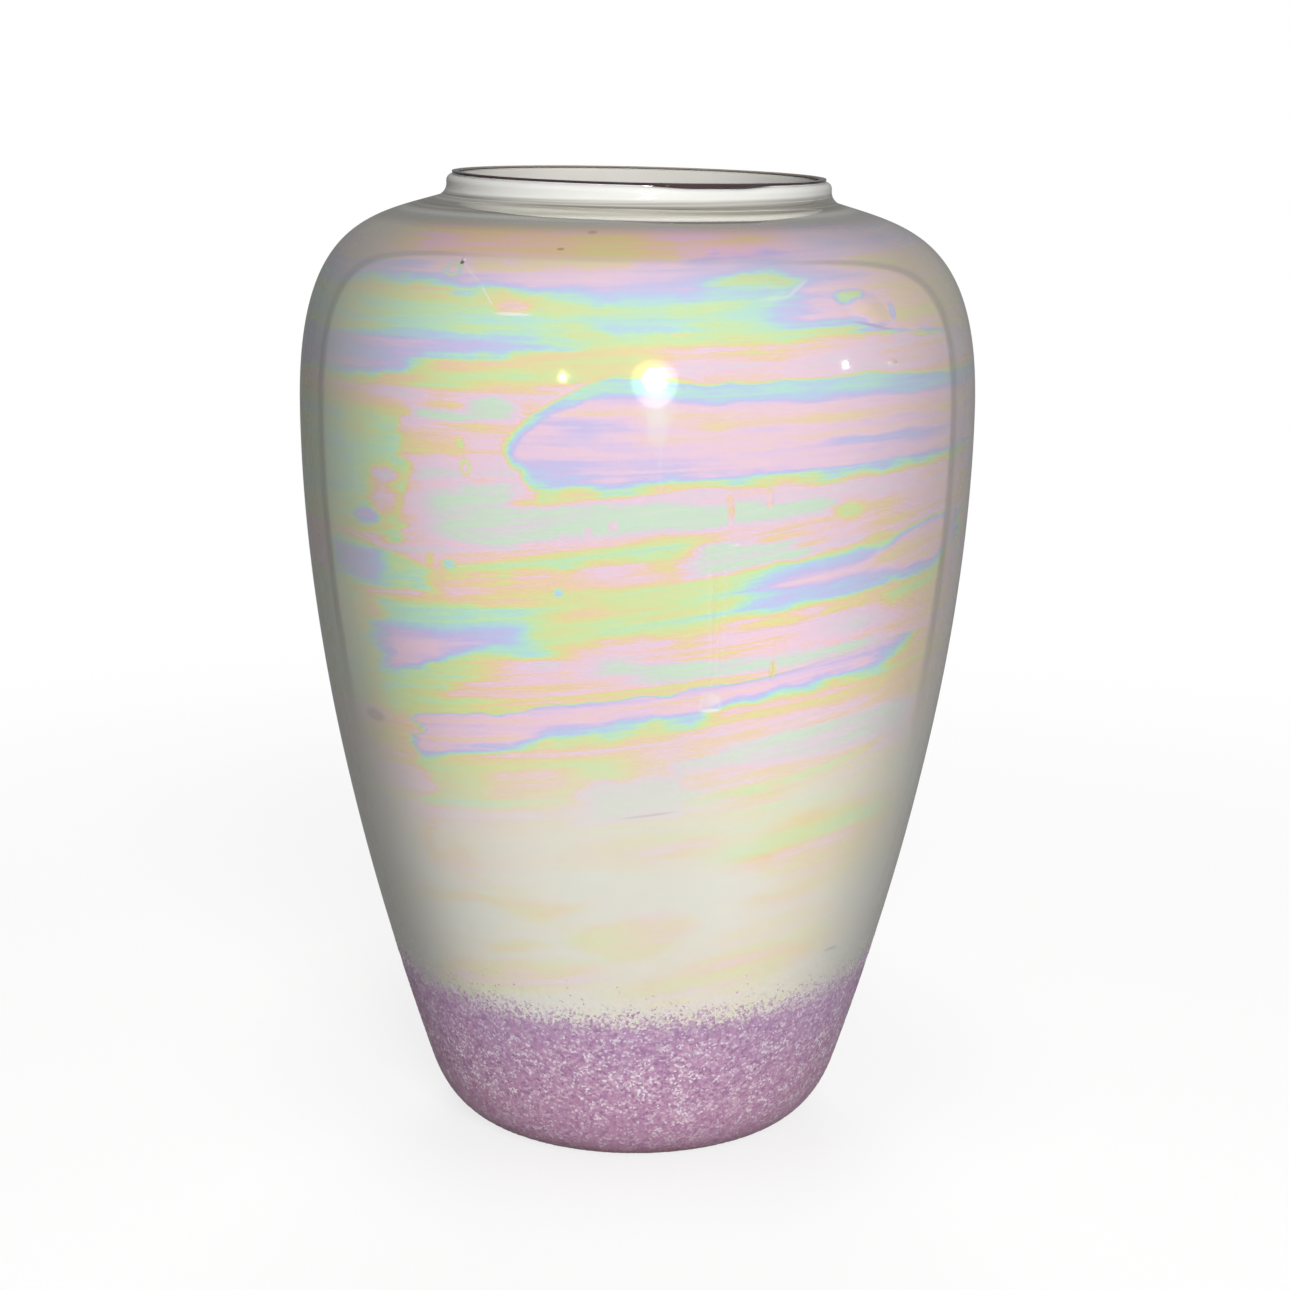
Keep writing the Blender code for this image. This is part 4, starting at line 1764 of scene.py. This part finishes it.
@dataclass(frozen=True)
class Pontil:
    """The stub of the pontil under the base, ground to a shallow dish with a softened edge."""

    radius: float = 0.0140
    clearance: float = 0.0020
    chamfer: float = 0.0008
    edge_in: float = 0.0002
    edge_up: float = 0.00028
    dish: float = 0.0007
    dish_steps: int = 10
    back: float = 0.0065
    back_taper: float = 0.0005
    segments: int = 96

    def profile(self) -> list[Vector]:
        """Section from the middle of the ground face to the middle of its back.

        Returns:
            The points, as radius and height.
        """
        face = self.radius - self.chamfer
        shares = [step / self.dish_steps for step in range(self.dish_steps + 1)]
        ground = [Vector((face * share, self.clearance + self.dish * (1.0 - share**2))) for share in shares]
        return ground + [Vector((self.radius - self.edge_in, self.clearance + self.edge_up)),
                         Vector((self.radius, self.clearance + self.chamfer)),
                         Vector((self.radius, self.back - self.back_taper)), Vector((0.0, self.back))]

    def build(self, finish: bpy.types.Material) -> None:
        """Turn the stub and add it."""
        bm = turned(self.profile(), self.segments, closed=False)
        add_piece("pontil_stub", bm, finish, Slot.GROUND_GLASS, "pontil_disc")


@dataclass(frozen=True)
class Lamp:
    """A round lamp that faces the middle of the vase, with a diameter and a power in watts."""

    name: str
    place: Place
    size: float
    power: float
    seen: bool = False
    aim: ClassVar[Place] = (0.0, 0.0, 0.15)

    def build(self) -> None:
        """Add the lamp. The camera never sees it, and the glass reflects it only if it is to be seen."""
        data = bpy.data.lights.new(self.name, "AREA")
        data.shape = "DISK"
        data.size = self.size
        data.energy = self.power
        lamp = bpy.data.objects.new(self.name, data)
        ahead = Vector(self.aim) - Vector(self.place)
        facing = ahead.to_track_quat("-Z", "Y").to_matrix().to_4x4()
        lamp.matrix_world = Matrix.Translation(self.place) @ facing
        lamp.visible_camera = False
        lamp.visible_glossy = self.seen
        bpy.context.scene.collection.objects.link(lamp)


@dataclass(frozen=True)
class PaleFloor:
    """A floor that shows near white, keeps the vase's shadow and isn't reflected in the glass."""

    size: float = 40.0
    gap: float = 0.0003
    colour: Colour = (0.55, 0.55, 0.55)
    seen_colour: Colour = (0.24, 0.24, 0.24)
    glow: float = 0.76
    sweep: Span = (0.25, 0.70)

    def material(self) -> bpy.types.Material:
        """Wire the finish: plain to the lamps' light, and to the camera a glow that is white far out.

        Returns:
            The material.
        """
        material, wiring = new_material("pale_floor", self.colour)
        path = wiring.node("ShaderNodeLightPath", output="Is Camera Ray")
        looked = path + path.other("Is Glossy Ray") + path.other("Is Transmission Ray")
        plain = wiring.node("ShaderNodeBsdfDiffuse", inputs={"Color": (*self.colour, 1.0)})
        shadowed = wiring.node("ShaderNodeBsdfDiffuse", inputs={"Color": (*self.seen_colour, 1.0)})
        glow = wiring.node("ShaderNodeEmission", inputs={"Strength": self.glow})
        near = wiring.node("ShaderNodeAddShader", inputs={0: shadowed, 1: glow})
        white = wiring.node("ShaderNodeEmission", inputs={"Strength": 1.0})
        far = AxisPlace(wiring).reach.eased(*self.sweep)
        seen = wiring.node("ShaderNodeMixShader", inputs={0: far, 1: near, 2: white})
        shader = wiring.node("ShaderNodeMixShader", inputs={
            0: looked.math("MINIMUM", 1.0), 1: plain, 2: seen})
        wiring.node("ShaderNodeOutputMaterial", inputs={"Surface": shader})
        return material

    def build(self) -> None:
        """Lay the floor just under the resting plane."""
        bm = bmesh.new()
        bmesh.ops.create_grid(bm, x_segments=1, y_segments=1, size=self.size / 2.0,
                              matrix=Matrix.Translation((0.0, 0.0, -self.gap)))
        mesh = bpy.data.meshes.new("floor")
        bm.to_mesh(mesh)
        bm.free()
        mesh.materials.append(self.material())
        floor = bpy.data.objects.new("floor", mesh)
        bpy.context.scene.collection.objects.link(floor)
        floor.visible_glossy = False


@dataclass(frozen=True)
class Surround:
    """What the glass reflects: a bright front and a grey back, with a thin dark border between them.

    Spans and rises are of the parts of a direction: x to the right, y to the back and z upwards.
    """

    level: float = 0.80
    ambient: float = 0.12
    border: float = 0.675
    border_bend: float = 0.70
    low: Span = (-0.26, -0.40)
    crisp: Span = (-0.01, 0.05)
    soft: Span = (-0.55, 0.30)
    line: Span = (0.050, 0.018)
    line_top: Span = (0.97, 0.70)
    line_depth: float = 0.48
    front: Span = (0.80, -0.75)
    side: Rise = (-0.8, 0.8, 0.20)
    least_side: float = 0.25
    floor_right: Span = (0.10, 0.80)
    floor_low: Rise = (-0.24, -0.42, 0.16)
    back_side: Rise = (-0.8, 0.8, 0.15)
    back_top: Rise = (0.4, 0.95, 0.26)
    least_back: float = 0.19

    def reflected(self, x: Signal, y: Signal, z: Signal) -> Signal:
        """Brightness of the surround in the glass.

        Args:
            x: Part of the direction to the right.
            y: Part of it to the back.
            z: Part of it upwards.

        Returns:
            The brightness.
        """
        past = y - (self.border - abs(z)**3.0 * self.border_bend)
        low = z.eased(*self.low)
        crisp = past.eased(*self.crisp)
        behind = crisp + (past.eased(*self.soft) - crisp) * low
        line = abs(past).eased(*self.line) * (1.0 - low) * z.eased(*self.line_top)
        side = x.eased(*self.side) + self.least_side
        floor = x.eased(*self.floor_right) * z.eased(*self.floor_low)
        bright = side + (1.0 - side) * y.eased(*self.front) + floor
        grey = x.eased(*self.back_side) + self.least_back + z.eased(*self.back_top)
        return (bright + (grey - bright) * behind) * (1.0 - line * self.line_depth)

    def build(self) -> None:
        """Wire the world: white to the camera, the surround in the glass, and a little light all round."""
        world = bpy.data.worlds.new("studio")
        bpy.context.scene.world = world
        world.use_nodes = True
        wiring = Wiring(world.node_tree)
        towards = wiring.node("ShaderNodeTexCoord", output="Generated")
        x = wiring.node("ShaderNodeSeparateXYZ", inputs={"Vector": towards}, output="X")
        lit = self.reflected(x, x.other("Y"), x.other("Z"))
        path = wiring.node("ShaderNodeLightPath", output="Is Camera Ray")
        through = path + path.other("Is Transmission Ray")
        glossy = path.other("Is Glossy Ray")
        level = lit * glossy * self.level + through + (1.0 - glossy - through) * self.ambient
        background = wiring.node("ShaderNodeBackground", inputs={
            "Color": (1.0, 1.0, 1.0, 1.0), "Strength": level})
        wiring.node("ShaderNodeOutputWorld", inputs={"Surface": background})


@dataclass(frozen=True)
class Studio:
    """The camera at the photograph's angle, the floor, the surround and the lamps."""

    camera_place: Place = (0.0, -0.78695, 0.3139)
    pitch: float = 0.2153
    yaw: float = -0.00347
    roll: float = 0.0080
    lens: float = 75.54
    sensor: float = 36.0

    def build(self) -> None:
        """Set a plain view transform and add what the studio holds."""
        bpy.context.scene.view_settings.view_transform = "Standard"
        self.add_camera()
        PaleFloor().build()
        Surround().build()
        for lamp in self.lamps():
            lamp.build()

    def add_camera(self) -> None:
        """Add the camera and look through it."""
        data = bpy.data.cameras.new("photo_camera")
        data.lens = self.lens
        data.sensor_width = self.sensor
        camera = bpy.data.objects.new("photo_camera", data)
        turn = (Matrix.Rotation(self.yaw, 4, "Z") @ Matrix.Rotation(math.pi / 2.0 - self.pitch, 4, "X")
                @ Matrix.Rotation(self.roll, 4, "Z"))
        camera.matrix_world = Matrix.Translation(self.camera_place) @ turn
        bpy.context.scene.collection.objects.link(camera)
        bpy.context.scene.camera = camera

    @staticmethod
    def lamps() -> list[Lamp]:
        """Soft lamps that light the vase, and small ones that show as highlights.

        Returns:
            The lamps.
        """
        return [
            Lamp("key", (0.30, -1.9, 0.9), 1.0, 34.0),
            Lamp("back_fill", (0.0, 2.2, 1.2), 1.6, 30.0),
            Lamp("top_fill", (0.0, -0.25, 1.7), 0.5, 6.0),
            Lamp("flash", (0.075, -0.80, 0.345), 0.080, 0.80, seen=True),
            Lamp("flash_glow", (0.075, -0.81, 0.335), 0.200, 0.045, seen=True),
            Lamp("left_bulb", (-0.34, -0.80, 0.350), 0.026, 0.05, seen=True),
            Lamp("right_bulb", (0.80, -0.30, 0.350), 0.022, 0.04, seen=True),
        ]


def main() -> None:
    """Build the pieces from the outside in, then the studio."""
    logging.basicConfig(level=logging.INFO, format="%(name)s: %(message)s")
    curve = OuterCurve()
    LustreCasing(curve).build(PearlLustre().material())
    FritBase(curve).build(LilacFrit().material())
    StrayGrains(curve).build(LilacFrit(fades=False).material())
    LipThread(curve).build(AmethystThread().material())
    InnerLayers(curve).build(CLEAR_GLASS.material(), WHITE_OPAL.material())
    Pontil().build(GROUND_GLASS.material())
    Studio().build()


if __name__ == "__main__":
    main()
